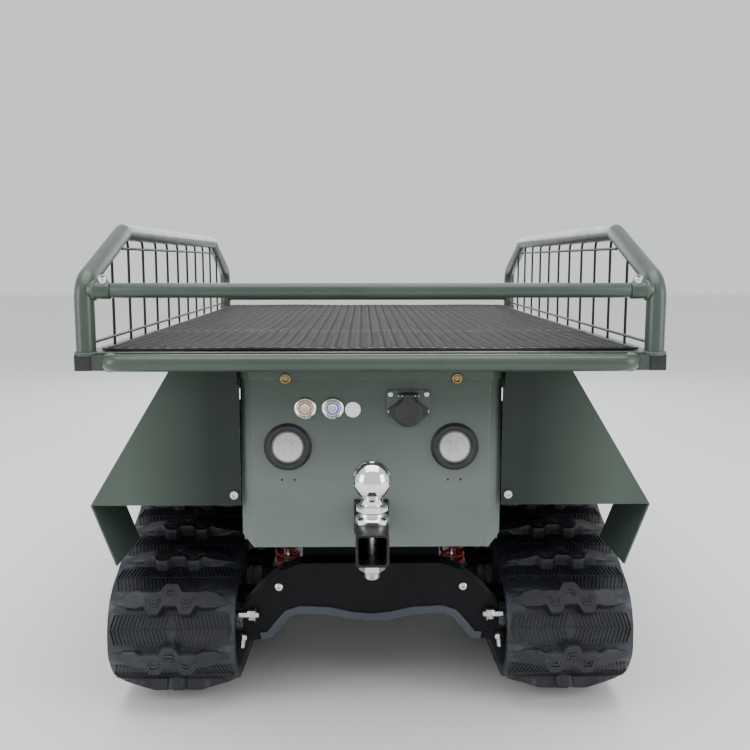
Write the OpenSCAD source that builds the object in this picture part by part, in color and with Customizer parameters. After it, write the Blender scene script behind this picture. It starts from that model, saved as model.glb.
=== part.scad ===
// Electric tracked carrier: a steel hull on two rubber tracks, with covers over the tracks,
// a cargo rack on top and a tow hitch at the back.
// +X is the right side, +Y the front, +Z up. The origin is on the ground, under the middle of the box.

/* [Overall] */
// Length from the open end of the ball mount to the front of the rack
overall_l = 1290; // [1280:1:1310]
// Width over the ridges of the track covers
overall_w = 757; // [752:1:780]
// Height of the rack frame's top face above the ground
deck_z = 525; // [520:1:535]

/* [Tracks] */
// Width of one rubber belt
belt_w = 180; // [160:1:180]
// Thickness of the belt's carcass
belt_t = 14; // [10:1:14]
// Height of the tread lugs
lug_h = 16; // [10:1:16]
// Distance from one tread lug to the next
pitch = 72; // [66:1:78]
// Distance from the middle plane to the middle of each belt
belt_x = 282; // [280:1:284]
// Radius of the road wheels
wheel_r = 60; // [55:1:62]
// Radius of the idler
idler_r = 70; // [64:1:72]

/* [Hull] */
// Width of the upper hull
hull_w = 351; // [340:1:352]
// Height of the upper hull's underside above the ground
hull_z = 261; // [258:1:266]
// Thickness of the hull's sheet
sheet = 3; // [2:0.5:4]

/* [Rack] */
// Diameter of the side rails
rail_d = 25; // [20:1:27]
// Height of the side rails' centre line above the ground
rail_z = 686; // [670:1:720]
// Distance between the wires of the side guards
wire_gap = 89; // [80:1:92]

/* [Hitch] */
// Diameter of the tow ball
ball_d = 50; // [47:0.5:51]
// Height of the tow ball's centre above the ground
ball_z = 377; // [370:1:385]

/* [Hidden] */
$fn = 64;
SIDES = ["left", "right"];
STATIONS = [1, 2, 3, 4];

green = "#4a6154";
black = "#1c1e20";
rubber = "#2e3238";
steel = "#c8cacc";
brass = "#b9a05e";

rear_y = -overall_l / 2;
front_y = overall_l / 2;
slip = 0.06; // radial clearance of a shaft in its bore

// Running gear, in the side plane
ground_in = belt_t + lug_h;
wheel_z = ground_in + wheel_r;
wheel_first_y = -225;
wheel_step = 180;
arm_reach = 100;
pivot_z = 150;
idler_y = -385;
idler_z = 112;
return_y = -165;
return_z = 225;
return_r = 45;
sprocket_teeth = 9;
sprocket_y = 500;
sprocket_z = 180;
sprocket_r = sprocket_teeth * pitch / (2 * PI) - belt_t / 2;
horn_w = 24;
horn_h = 22;
disc_gap = 34;
disc_w = 40;
axle_r = 10;
pivot_r = 12;
arm_x = 163;
arm_t = 18;
nut_x = belt_x + disc_gap / 2 + disc_w; // outer face of a wheel
hub_x = belt_x - disc_gap / 2 - disc_w; // inner face of a wheel

function wheel_y(i) = wheel_first_y + (i - 1) * wheel_step;
function side_sign(s) = s == "left" ? -1 : 1;

// Shock absorber of the rearmost arm
shock_x = 138;
shock_top = [-235, 250];
shock_low = [-215, 128];
shock_l = norm(shock_top - shock_low);
shock_lean = atan2(shock_low[0] - shock_top[0], shock_top[1] - shock_low[1]);
spring_r = 18.5;
wire_r = 2.6;
spring_start = 21;
spring_end = 105;

// Square tubes of the rack frame, and their end plugs
tube = 20;
tube_wall = 1.5;
plug_t = 2;

// Hull
hull_top = deck_z - tube - sheet;
panel_y = rear_y + 147;
bevel = 18;
hull_front = 600;
belly_w = 200;
belly_z = 141;
belly_rear = -400;
belly_front = 580;
beam_y = -433;

// Panel fittings: x and z on the rear panel
lamp_x = 111;
lamp_z = 399;
button_z = 451;
button_xs = [-87.4, -51];
marker_x = -24.5;
socket_x = 49;
socket_z = 446;
insert_x = 113;
insert_z = 491;
insert_r = 3.4;
hitch_z = 304;
mount_w = 40;
receiver_w = 46;
ball_y = rear_y + 52;

// Covers
cover_t = 2;
cover_top = 500;
cover_top_x = 268;
ridge_x = overall_w / 2;
ridge_z = 317;
skirt_x = ridge_x - 31;
skirt_z = 233;
skirt_l = 122;
cover_rear = panel_y + 8;
cover_front = 612;

// Rack
rail_x = ridge_x - rail_d / 2;
side_x = ridge_x - tube / 2;
rack_rear = panel_y - 21;
rack_front = front_y - rail_d / 2;
deck_x = rail_x - rail_d / 2 - 1.5;
rack_mid = (rack_rear + rack_front) / 2;
plate_t = 3;
mat_t = 6;
gate_z = 607;
gate_r = 9.5;
bumper_r = 11;
bumper_z = 517;
bumper_y = rack_rear - 28;
bumper_bend = 17;
gate_end = rail_x - rail_d / 2;
stub_l = 22;
screw_at = [341, rack_rear, gate_z + gate_r];
screw_lean = 18;
head_r = 6.5;
head_h = 10;
front_bar_z = 553;
bend_z = 616;
slope_run = 194;
rail_bend = 30;

// ---- Small helpers ----

module x_rod(x0, x1, y, z, r) {
    translate([min(x0, x1), y, z]) rotate([0, 90, 0]) cylinder(h = abs(x1 - x0), r = r);
}

module y_rod(y0, y1, x, z, r) {
    translate([x, y1, z]) rotate([90, 0, 0]) cylinder(h = y1 - y0, r = r);
}

// Cylinder from point a to point b
module rod(a, b, r) {
    d = b - a;
    translate(a) rotate([0, acos(d[2] / norm(d)), atan2(d[1], d[0])]) cylinder(h = norm(d), r = r);
}

// Points along a round bend of the given radius at corner b, between points a and c
function bend_points(a, b, c, radius) =
    let (u = (a - b) / norm(a - b), v = (c - b) / norm(c - b), half = acos(u * v) / 2,
        middle = (u + v) / norm(u + v), side = (u - v) / norm(u - v),
        centre = b + middle * radius / sin(half))
    [for (k = [-1 : 0.4 : 1.01]) let (angle = -k * (90 - half))
        centre - middle * radius * cos(angle) + side * radius * sin(angle)];

// Closed skin over rings of points, each with the same number of sides
module ring_skin(points, sides) {
    rings = len(points) / sides;
    skin = [for (i = [0 : rings - 2]) for (k = [0 : sides - 1]) let (n = (k + 1) % sides)
        [i * sides + k, i * sides + n, (i + 1) * sides + n, (i + 1) * sides + k]];
    ends = [[for (k = [sides - 1 : -1 : 0]) k], [for (k = [0 : sides - 1]) (rings - 1) * sides + k]];
    polyhedron(points, concat(skin, ends), convexity = 10);
}

// Round tube through points of a plane with the given normal
module bent_rod(points, normal, r) {
    sides = 20;
    last = len(points) - 1;
    function step(i) = (points[i + 1] - points[i]) / norm(points[i + 1] - points[i]);
    function along(i) = let (sum = step(max(i - 1, 0)) + step(min(i, last - 1))) sum / norm(sum);
    function across(i) = cross(along(i), normal) / (along(i) * step(min(i, last - 1)));
    ring_skin([for (i = [0 : last]) for (k = [0 : sides - 1])
        points[i] + r * (cos(360 * k / sides) * across(i) + sin(360 * k / sides) * normal)], sides);
}

module box(low, high) {
    translate(low) cube(high - low);
}

module on_side(s) {
    if (s == "left") mirror([1, 0, 0]) children();
    else children();
}

module both_sides() {
    for (s = SIDES) on_side(s) children();
}

// Draws children, which stand in the XY plane as a side view of (y, z), as a plate from x0 to x0 + t
module side_plate(x0, t) {
    translate([x0, 0, 0]) rotate([90, 0, 90]) linear_extrude(t) children();
}

// Draws children, a rear view of (x, z), as a plate from y0 forward by t
module rear_plate(y0, t) {
    translate([0, y0 + t, 0]) rotate([90, 0, 0]) linear_extrude(t) children();
}

// Outline of a link with round ends of radius ra at a and rb at b
module link_outline(a, b, ra, rb) {
    d = b - a;
    turn = atan2(d[1], d[0]);
    lean = acos((ra - rb) / norm(d));
    function at(c, r, angle) = c + r * [cos(angle), sin(angle)];
    translate(a) circle(r = ra);
    translate(b) circle(r = rb);
    polygon([at(a, ra, turn + lean), at(b, rb, turn + lean), at(b, rb, turn - lean), at(a, ra, turn - lean)]);
}

module square_tube(low, high, axis) {
    hollow = [for (i = [0 : 2]) i == axis ? -1 : tube_wall];
    difference() {
        box(low, high);
        box(low + hollow, high - hollow);
    }
}

// ---- Belt path ----
// The belt runs round five wheels. Each is [y, z, radius], clockwise as seen from the right side.
carriers = [
    [idler_y, idler_z, idler_r],
    [return_y, return_z, return_r],
    [sprocket_y, sprocket_z, sprocket_r],
    [wheel_y(4), wheel_z, wheel_r],
    [wheel_y(1), wheel_z, wheel_r]
];
carrier_count = len(carriers);

function carrier(i) = carriers[(i + carrier_count) % carrier_count];
function centre_of(i) = [carrier(i)[0], carrier(i)[1]];
function gap_of(i) = centre_of(i + 1) - centre_of(i);
// Direction of the outward normal of the straight stretch from wheel i to the next
function normal_of(i) = atan2(gap_of(i)[1], gap_of(i)[0])
    + acos((carrier(i)[2] - carrier(i + 1)[2]) / norm(gap_of(i)));
function turn_of(i) = (normal_of(i - 1) - normal_of(i) + 720) % 360;
function on_wheel(i, angle, lift) = centre_of(i) + (carrier(i)[2] + lift) * [cos(angle), sin(angle)];
function straight_of(i) = norm(on_wheel(i + 1, normal_of(i), 0) - on_wheel(i, normal_of(i), 0));
function arc_of(i, lift) = turn_of(i) * PI / 180 * (carrier(i)[2] + lift);
function belt_length(i, lift) = i < 0 ? 0 : arc_of(i, lift) + straight_of(i) + belt_length(i - 1, lift);
// Place and outward direction at a distance s along the belt, counted from where it meets wheel i
function walk(s, i, lift) =
    let (arc = arc_of(i, lift), line = straight_of(i))
    s < arc ? let (angle = normal_of(i - 1) - s / arc * turn_of(i)) [on_wheel(i, angle, lift), angle]
    : s < arc + line ? let (a = on_wheel(i, normal_of(i), lift), b = on_wheel(i + 1, normal_of(i), lift))
        [a + (b - a) * (s - arc) / line, normal_of(i)]
    : walk(s - arc - line, i + 1, lift);

cord_lift = belt_t / 2;
belt_l = belt_length(carrier_count - 1, cord_lift);
lug_count = round(belt_l / pitch);
lug_phase = 25.4;

// Outline of the belt's path, grown outward by lift, with short flats outside each wheel's arc
function arc_flats(i) = ceil(turn_of(i) / 8);
module loop_outline(lift) {
    polygon([for (i = [0 : carrier_count - 1]) let (flats = arc_flats(i), bend = turn_of(i) / flats)
        for (k = [0 : flats - 1]) centre_of(i) + (carrier(i)[2] + lift) / cos(bend / 2)
            * [cos(normal_of(i - 1) - bend * (k + 0.5)), sin(normal_of(i - 1) - bend * (k + 0.5))]]);
}

// Half of a lug's outline in plan: across the belt, along the belt
lug_plan = [
    [0, 9], [14, 9], [20, 16], [34, 16], [40, 10], [86, 5],
    [86, -5], [40, -12], [18, -12], [12, -18], [0, -18]
];

module lug() {
    other_half = [for (i = [len(lug_plan) - 2 : -1 : 1]) [-lug_plan[i][0], lug_plan[i][1]]];
    linear_extrude(lug_h + 1) polygon(concat(lug_plan, other_half));
}

module horn() {
    translate([-horn_w / 2, 0, 0]) rotate([90, 0, 90]) linear_extrude(horn_w)
        polygon([[-14, 1], [14, 1], [7, -horn_h], [-7, -horn_h]]);
}

module belt(s) {
    color(rubber) translate([side_sign(s) * belt_x, 0, 0]) {
        side_plate(-belt_w / 2, belt_w) difference() {
            loop_outline(belt_t);
            loop_outline(0);
        }
        for (k = [0 : lug_count - 1]) {
            at = walk(lug_phase + k * belt_l / lug_count, 0, cord_lift);
            translate([0, at[0][0], at[0][1]]) rotate([at[1] - 90, 0, 0]) {
                translate([0, 0, cord_lift - 1]) lug();
                translate([0, 0, -cord_lift]) horn();
            }
        }
    }
}

// ---- Wheels ----

// Two dished discs on one hub, with a gap for the belt's horns
module double_wheel(r, hub_r, rim_t) {
    half = disc_gap / 2;
    edge = half + disc_w;
    dish = 10;
    rotate([0, 90, 0]) rotate_extrude() polygon([
        [axle_r + slip, -edge], [hub_r, -edge], [hub_r, -edge + dish], [r - rim_t, -edge + dish],
        [r - rim_t, -edge], [r, -edge], [r, -half], [hub_r, -half], [hub_r, half], [r, half],
        [r, edge], [r - rim_t, edge], [r - rim_t, edge - dish], [hub_r, edge - dish], [hub_r, edge],
        [axle_r + slip, edge]
    ]);
}

module road_wheel(s, i) {
    color(black) translate([side_sign(s) * belt_x, wheel_y(i), wheel_z]) double_wheel(wheel_r - 0.5, 22, 10);
}

module idler(s) {
    color(black) translate([side_sign(s) * belt_x, idler_y, idler_z]) double_wheel(idler_r - 0.5, 24, 10);
}

module return_roller(s) {
    color(black) translate([side_sign(s) * belt_x, return_y, return_z]) double_wheel(return_r - 0.5, 16, 6);
}

// Outline of a toothed ring: a flat tip and a round-sided gap for each drive pitch
module sprocket_outline(tip, root) {
    step = 360 / sprocket_teeth;
    tooth = [[-0.32, root], [-0.17, tip], [0.17, tip], [0.32, root]];
    polygon([for (k = [0 : sprocket_teeth - 1]) for (corner = tooth)
        corner[1] * [cos((k + corner[0]) * step), sin((k + corner[0]) * step)]]);
}

module sprocket(s) {
    ring_t = 22;
    ring_at = disc_gap / 2 + 8;
    hole_at = 56;
    shaft_r = 14;
    color(black) on_side(s) translate([belt_x, sprocket_y, sprocket_z]) {
        for (side = [-1, 1]) translate([side * (ring_at + ring_t / 2) - ring_t / 2, 0, 0]) rotate([90, 0, 90])
            linear_extrude(ring_t) difference() {
                sprocket_outline(sprocket_r - 0.6, sprocket_r - 18);
                for (k = [0 : 5]) rotate(k * 60) translate([hole_at, 0]) circle(r = 11);
            }
        x_rod(-ring_at - ring_t, ring_at + ring_t, 0, 0, 36);
        x_rod(60 - belt_x, 0, 0, 0, shaft_r);
        x_rod(ring_at + ring_t, ring_at + ring_t + 8, 0, 0, 26);
    }
}

// ---- Suspension ----

module arm(s, i) {
    axle = [wheel_y(i), wheel_z];
    pivot = axle + [arm_reach, pivot_z - wheel_z];
    color(black) on_side(s) {
        difference() {
            union() {
                side_plate(arm_x, arm_t) link_outline(pivot, axle, 24, 20);
                if (i == 1) side_plate(arm_x, arm_t) link_outline(shock_low, axle, 12, 20);
                x_rod(arm_x - 20, arm_x + 1, pivot[0], pivot[1], 20);
            }
            x_rod(arm_x - 40, arm_x + arm_t + 1, pivot[0], pivot[1], pivot_r + slip);
        }
        x_rod(arm_x + arm_t - 1, hub_x - 0.5, axle[0], axle[1], 15);
        x_rod(arm_x + arm_t - 1, nut_x + 12, axle[0], axle[1], axle_r);
        x_rod(nut_x + 0.5, nut_x + 10, axle[0], axle[1], 15);
        if (i == 1) x_rod(shock_x - 14, arm_x + 1, shock_low[0], shock_low[1], 5);
    }
}

// Draws children along the shock's own axis: +Z runs from the top eye down to the low eye
module along_shock(s) {
    on_side(s) translate([shock_x, shock_top[0], shock_top[1]]) rotate([180 + shock_lean, 0, 0]) children();
}

module eye(z, bore) {
    difference() {
        translate([-8, 0, z]) rotate([0, 90, 0]) cylinder(h = 16, r = 10);
        translate([-9, 0, z]) rotate([0, 90, 0]) cylinder(h = 18, r = bore);
    }
}

module shock_body(s) {
    color(black) along_shock(s) {
        eye(0, 5 + slip);
        difference() {
            union() {
                translate([0, 0, 6]) cylinder(h = 8, r = 8);
                translate([0, 0, 13]) cylinder(h = 59, r = 13);
                translate([0, 0, 16]) cylinder(h = 5, r = 22);
            }
            translate([0, 0, 22]) cylinder(h = 60, r = 6 + slip);
        }
    }
}

module shock_rod(s) {
    color(steel) along_shock(s) {
        eye(shock_l, 6);
        translate([0, 0, 46]) cylinder(h = shock_l - 46 - 9, r = 6);
        translate([0, 0, spring_end]) cylinder(h = 5, r = 22);
    }
}

// Tube of radius r swept along a coil about +Z
module coil(coil_r, r, z0, z1, turns) {
    sides = 8;
    rings = 78;
    ring_skin([for (i = [0 : rings]) let (angle = 360 * turns * i / rings) for (k = [0 : sides - 1])
        let (a = 360 * k / sides, out = coil_r + r * cos(a))
        [out * cos(angle), out * sin(angle), z0 + (z1 - z0) * i / rings + r * sin(a)]], sides);
}

module shock_spring(s) {
    color("#a03028") along_shock(s)
        coil(spring_r, wire_r, spring_start + wire_r + 0.1, spring_end - wire_r - 0.1, 6.5);
}

module axle_stubs() {
    color(steel) both_sides() {
        for (i = STATIONS) {
            x_rod(belly_w / 2, arm_x + arm_t + 3, wheel_y(i) + arm_reach, pivot_z, pivot_r);
            x_rod(arm_x + arm_t + 1, arm_x + arm_t + 7, wheel_y(i) + arm_reach, pivot_z, 18);
        }
        for (stub = [[belly_w / 2, return_y, return_z], [150, idler_y, idler_z]]) {
            x_rod(stub[0], nut_x + 12, stub[1], stub[2], axle_r);
            x_rod(nut_x + 0.5, nut_x + 10, stub[1], stub[2], 15);
        }
        x_rod(154, 163, idler_y, idler_z, 15);
        x_rod(185, hub_x - 0.5, idler_y, idler_z, 15);
        x_rod(belly_w / 2, hub_x - 0.5, return_y, return_z, 15);
    }
}

// ---- Hull ----

module upper_hull() {
    half = hull_w / 2;
    color(green) difference() {
        box([-half, panel_y + bevel, hull_z], [half, hull_front, hull_top]);
        box([-half + sheet, panel_y, hull_z + sheet], [half - sheet, hull_front - sheet, hull_top + 1]);
        box([-belly_w / 2, belly_rear, hull_z - 1], [belly_w / 2, belly_front, hull_z + sheet + 1]);
        both_sides() corner_cut();
    }
    color(black) both_sides() for (x = [shock_x - 13, shock_x + 9]) difference() {
        box([x, shock_top[0] - 12, shock_top[1] - 10], [x + 4, shock_top[0] + 12, hull_z]);
        x_rod(x - 1, x + 5, shock_top[0], shock_top[1], 5);
    }
    color(black) both_sides() x_rod(shock_x - 15, shock_x + 15, shock_top[0], shock_top[1], 5);
}

module lower_hull() {
    half = belly_w / 2;
    color(black) difference() {
        box([-half, belly_rear, belly_z], [half, belly_front, hull_z + sheet]);
        box([-half + sheet, belly_rear + sheet, belly_z + sheet],
            [half - sheet, belly_front - sheet, hull_top]);
        both_sides() x_rod(half - 10, half + 10, sprocket_y, sprocket_z, 14 + slip);
    }
}

module hull_lid() {
    lip = 15;
    color(green) difference() {
        lid_solid(sheet, hull_top - lip + sheet, hull_top + sheet);
        lid_solid(0, hull_top - lip, hull_top);
        for (x = [-insert_x, insert_x]) y_rod(panel_y - 10, panel_y + 10, x, insert_z, 7);
    }
}

// Plan of the upper hull grown by g, with bevelled rear corners, from z0 to z1
module lid_solid(g, z0, z1) {
    half = hull_w / 2 + g;
    translate([0, 0, z0]) linear_extrude(z1 - z0) polygon([
        [-half, hull_front + g], [-half, panel_y + bevel], [-half + bevel, panel_y - g],
        [half - bevel, panel_y - g], [half, panel_y + bevel], [half, hull_front + g]
    ]);
}

// Cuts off the rear lower corner of the right side
module corner_cut() {
    height = 16;
    translate([hull_w / 2, panel_y - 1, hull_z - 1]) rotate([-90, 0, 0])
        linear_extrude(2 * bevel) polygon([[1, 0], [1, -height], [-bevel, 0]]);
}

module rear_panel() {
    color(green) difference() {
        translate([0, 0, hull_z]) linear_extrude(hull_top - hull_z) polygon([
            [-hull_w / 2, panel_y + bevel], [-hull_w / 2 + bevel, panel_y],
            [hull_w / 2 - bevel, panel_y], [hull_w / 2, panel_y + bevel]
        ]);
        translate([0, 0, hull_z + sheet]) linear_extrude(hull_top) polygon([
            [-hull_w / 2 + sheet, panel_y + bevel + 1], [-hull_w / 2 + sheet, panel_y + bevel],
            [-hull_w / 2 + bevel + sheet / 2, panel_y + sheet],
            [hull_w / 2 - bevel - sheet / 2, panel_y + sheet],
            [hull_w / 2 - sheet, panel_y + bevel], [hull_w / 2 - sheet, panel_y + bevel + 1]
        ]);
        both_sides() {
            y_rod(panel_y - 1, panel_y + 10, lamp_x, lamp_z, 27);
            for (x = [-8.4, 8.4]) y_rod(panel_y - 1, panel_y + 10, lamp_x + x, lamp_z - 45, 1.3);
            y_rod(panel_y - 1, panel_y + 10, insert_x, insert_z, 7);
            corner_cut();
        }
        for (x = button_xs) y_rod(panel_y - 1, panel_y + 10, x, button_z, 12.5);
        y_rod(panel_y - 1, panel_y + 10, socket_x, socket_z, 15);
        box([-receiver_w / 2, panel_y - 1, hitch_z - receiver_w / 2],
            [receiver_w / 2, panel_y + 10, hitch_z + receiver_w / 2]);
    }
}

// Arched beam behind the lower hull, with a bracket for the idler axle at each end
module rear_beam() {
    foot_x = 163;
    bracket_x = 185;
    arch = [[0, 129], [30, 132], [60, 139], [102, 141], [116, 136], [128, 122], [143, 104], [bracket_x, 98]];
    crown = [[bracket_x, 150], [foot_x, 176], [130, 204], [100, 215]];
    outline = concat(arch, crown);
    color(black) {
        rear_plate(beam_y, belly_rear - beam_y)
            polygon(concat(outline, [for (i = [len(outline) - 1 : -1 : 1]) [-outline[i][0], outline[i][1]]]));
        both_sides() difference() {
            side_plate(foot_x, bracket_x - foot_x) union() {
                link_outline([idler_y, idler_z], [belly_rear + 2, 118], 24, 18);
                translate([belly_rear - 4, 99]) square([8, 40]);
            }
            x_rod(foot_x - 1, bracket_x + 1, idler_y, idler_z, axle_r);
        }
    }
}

// ---- Track covers ----

module cover(s) {
    slant = (ridge_x - cover_top_x) / (cover_top - ridge_z);
    shift = cover_t * sqrt(1 + slant * slant);
    inner_x = hull_w / 2 + sheet;
    drop = 1;
    color(green) on_side(s) {
        difference() {
            rear_plate(cover_rear, cover_front - cover_rear) polygon([
                [inner_x, ridge_z], [ridge_x, ridge_z], [cover_top_x, cover_top], [inner_x, cover_top]]);
            rear_plate(cover_rear + cover_t, cover_front - cover_rear - 2 * cover_t) polygon([
                [inner_x - drop, ridge_z - drop], [ridge_x - shift + slant * drop, ridge_z - drop],
                [cover_top_x - shift + slant * cover_t, cover_top - cover_t],
                [inner_x - drop, cover_top - cover_t]]);
        }
        for (y = [cover_rear, cover_front - cover_t])
            box([hull_w / 2, y, ridge_z], [inner_x, y + cover_t, cover_top - 20]);
        rear_plate(cover_rear, skirt_l) polygon([
            [ridge_x, ridge_z], [skirt_x, skirt_z], [skirt_x - shift, skirt_z], [ridge_x - shift, ridge_z]]);
    }
}

// ---- Rack ----

module rack_frame() {
    low = deck_z - tube;
    side_rear = rack_rear - tube / 2;
    side_front = front_y - plug_t;
    inner_x = 140;
    cross_ys = [rack_rear, -230, 56, 340, rack_front];
    color(green) {
        both_sides() {
            square_tube([side_x - tube / 2, side_rear, low], [ridge_x, side_front, deck_z], 1);
            for (k = [0 : len(cross_ys) - 2])
                square_tube([inner_x, cross_ys[k] + tube / 2, low],
                    [inner_x + tube, cross_ys[k + 1] - tube / 2, deck_z], 1);
        }
        for (y = cross_ys)
            square_tube([tube / 2 - side_x, y - tube / 2, low], [side_x - tube / 2, y + tube / 2, deck_z], 0);
    }
}

module deck_plate() {
    color(green) box([-deck_x, rack_rear - 6, deck_z], [deck_x, rack_front + 6, deck_z + plate_t]);
}

module deck_mats() {
    seam_y = -225;
    top = deck_z + plate_t;
    color(rubber) {
        box([-deck_x + 2, rack_rear + 14, top], [deck_x - 2, seam_y - 1, top + mat_t]);
        box([-deck_x + 2, seam_y + 1, top], [deck_x - 2, rack_front - 14, top + mat_t]);
    }
}

module rack_rails() {
    foot = [rail_x, rack_rear, deck_z];
    post = [rail_x, rack_rear, bend_z];
    crest = [rail_x, rack_rear + slope_run, rail_z];
    half = concat([foot], bend_points(foot, post, crest, rail_bend), [crest]);
    front_half = [for (i = [len(half) - 1 : -1 : 0]) [half[i][0], 2 * rack_mid - half[i][1], half[i][2]]];
    color(green) both_sides() bent_rod(concat(half, front_half), [1, 0, 0], rail_d / 2);
    color(green) x_rod(-rail_x, rail_x, rack_front, front_bar_z, gate_r);
}

module rack_guards() {
    wires = 11;
    wire = 2;
    wire_x = rail_x - 1.5 * wire;
    top = rail_z - 24;
    span = (wires - 1) * wire_gap / 2;
    slope = (rail_z - bend_z) / slope_run;
    slant_r = rail_d / 2 * sqrt(1 + slope * slope) + wire * slope;
    // Height of the rail's underside above the wire at y
    function under(y) = let (run = min(y - rack_rear, rack_front - y))
        min(rail_z - rail_d / 2, bend_z + slope * run - slant_r) - slip;
    color(black) both_sides() {
        for (k = [0 : wires - 1]) let (y = rack_mid - span + k * wire_gap)
            rod([rail_x, y, deck_z], [rail_x, y, under(y)], wire);
        y_rod(rack_mid - span + 44, rack_mid + span - 44, wire_x, top, wire);
        y_rod(rack_rear + rail_d / 2, rack_front - rail_d / 2, wire_x, deck_z + 14, wire);
    }
}

module bumper_bar() {
    half = 333;
    corner = [half, bumper_y, bumper_z];
    seat = [half, rack_rear - tube / 2, bumper_z];
    turn = concat([seat], bend_points(seat, corner, [0, bumper_y, bumper_z], bumper_bend));
    across = [for (i = [len(turn) - 1 : -1 : 0]) [-turn[i][0], turn[i][1], turn[i][2]]];
    color(green) bent_rod(concat(turn, across), [0, 0, 1], bumper_r);
}

// Draws children at the gate's socket screws, with +Z along each screw
module at_gate_screws() {
    both_sides() translate(screw_at) rotate([screw_lean, 0, 0]) children();
}

module gate_bar() {
    color(green) difference() {
        union() {
            x_rod(-gate_end, gate_end, rack_rear, gate_z, gate_r);
            both_sides() x_rod(gate_end - stub_l, gate_end, rack_rear, gate_z, gate_r + 1.5);
        }
        at_gate_screws() cylinder(h = head_h, r = head_r);
    }
}

module tube_plugs() {
    seat = tube / 2 - tube_wall;
    rear = rack_rear - tube / 2;
    color(black) both_sides() for (end = [[rear, -1], [front_y - plug_t, 1]]) {
        face = end[0] + end[1] * plug_t;
        box([side_x - tube / 2, min(end[0], face), deck_z - tube], [ridge_x, max(end[0], face), deck_z]);
        inner = end[0] - end[1] * 15;
        box([side_x - seat, min(end[0], inner), deck_z - tube / 2 - seat],
            [side_x + seat, max(end[0], inner), deck_z - tube / 2 + seat]);
    }
}

// ---- Hitch ----

module hollow_square(y0, y1, w, wall) {
    difference() {
        box([-w / 2, y0, hitch_z - w / 2], [w / 2, y1, hitch_z + w / 2]);
        box([-w / 2 + wall, y0 - 1, hitch_z - w / 2 + wall], [w / 2 - wall, y1 + 1, hitch_z + w / 2 - wall]);
    }
}

module hitch_receiver() {
    color(black) hollow_square(panel_y - 14, panel_y + 190, receiver_w, (receiver_w - mount_w) / 2 - 0.2);
}

module ball_mount() {
    color(black) difference() {
        hollow_square(rear_y, panel_y + 120, mount_w, 3);
        translate([0, ball_y, hitch_z - mount_w]) cylinder(h = 2 * mount_w, r = 9.6);
    }
}

module tow_ball() {
    top = hitch_z + mount_w / 2;
    low = hitch_z - mount_w / 2;
    color(steel) translate([0, ball_y, 0]) {
        translate([0, 0, ball_z]) difference() {
            sphere(d = ball_d);
            translate([0, 0, ball_d / 2 - 2]) cylinder(h = 5, r = 20);
        }
        translate([0, 0, top + 7]) cylinder(h = ball_z - top - 20, r = 14);
        translate([0, 0, top]) cylinder(h = 7, r = 21);
        translate([0, 0, low - 32]) cylinder(h = top - low + 33, r = 9.5);
        translate([0, 0, low - 3]) cylinder(h = 3, r = 18);
        translate([0, 0, low - 22]) cylinder(h = 19, r = 17, $fn = 6);
    }
}

// ---- Rear panel fittings ----

module lamp_rings() {
    color(black) both_sides() difference() {
        union() {
            y_rod(panel_y - 7, panel_y, lamp_x, lamp_z, 32);
            y_rod(panel_y, panel_y + 6, lamp_x, lamp_z, 27);
        }
        y_rod(panel_y - 8, panel_y + 7, lamp_x, lamp_z, 21);
    }
}

module lamp_lenses() {
    color("#d8dadc") both_sides() {
        y_rod(panel_y - 4, panel_y + 8, lamp_x, lamp_z, 21);
        y_rod(panel_y + 8, panel_y + 30, lamp_x, lamp_z, 25);
    }
}

button_r = 10;
button_travel = 2.5;

module button_bezels() {
    color(steel) for (x = button_xs) difference() {
        union() {
            y_rod(panel_y - 3, panel_y, x, button_z, 14.7);
            y_rod(panel_y, panel_y + 25, x, button_z, 12.5);
        }
        y_rod(panel_y - 4, panel_y + 20, x, button_z, button_r + slip);
    }
}

module push_button(x) {
    color(steel) y_rod(panel_y - 3.5, panel_y + 20 - button_travel - 0.5, x, button_z, button_r);
}

module marker_disc() {
    color("white") y_rod(panel_y - 1, panel_y, marker_x, button_z - 2, 10.3);
}

lid_pin_z = socket_z + 23;
lid_pin_y = panel_y - 11;
lid_w = 16;

module charge_socket() {
    color(black) difference() {
        union() {
            box([socket_x - 28.5, panel_y - 3, socket_z - 8], [socket_x + 28.5, panel_y, socket_z + 30]);
            y_rod(panel_y - 7, panel_y, socket_x, socket_z, 20);
            y_rod(panel_y, panel_y + 22, socket_x, socket_z, 14.5);
            for (x = [-lid_w / 2 - 5, lid_w / 2 + 1]) box([socket_x + x, lid_pin_y - 3, lid_pin_z - 4],
                [socket_x + x + 4, panel_y, lid_pin_z + 3]);
        }
        y_rod(panel_y - 8, panel_y + 16, socket_x, socket_z, 12);
    }
    color(steel) x_rod(socket_x - lid_w / 2 - 6, socket_x + lid_w / 2 + 6, lid_pin_y, lid_pin_z, 1.5);
}

module socket_lid() {
    color(black) difference() {
        union() {
            y_rod(panel_y - 11, panel_y - 7.2, socket_x, socket_z, 17.5);
            box([socket_x - lid_w / 2, panel_y - 11, socket_z],
                [socket_x + lid_w / 2, panel_y - 7.2, lid_pin_z]);
            x_rod(socket_x - lid_w / 2, socket_x + lid_w / 2, lid_pin_y, lid_pin_z, 3);
        }
        x_rod(socket_x - lid_w, socket_x + lid_w, lid_pin_y, lid_pin_z, 1.5 + slip);
    }
}

// ---- Fasteners and drive ----

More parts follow.
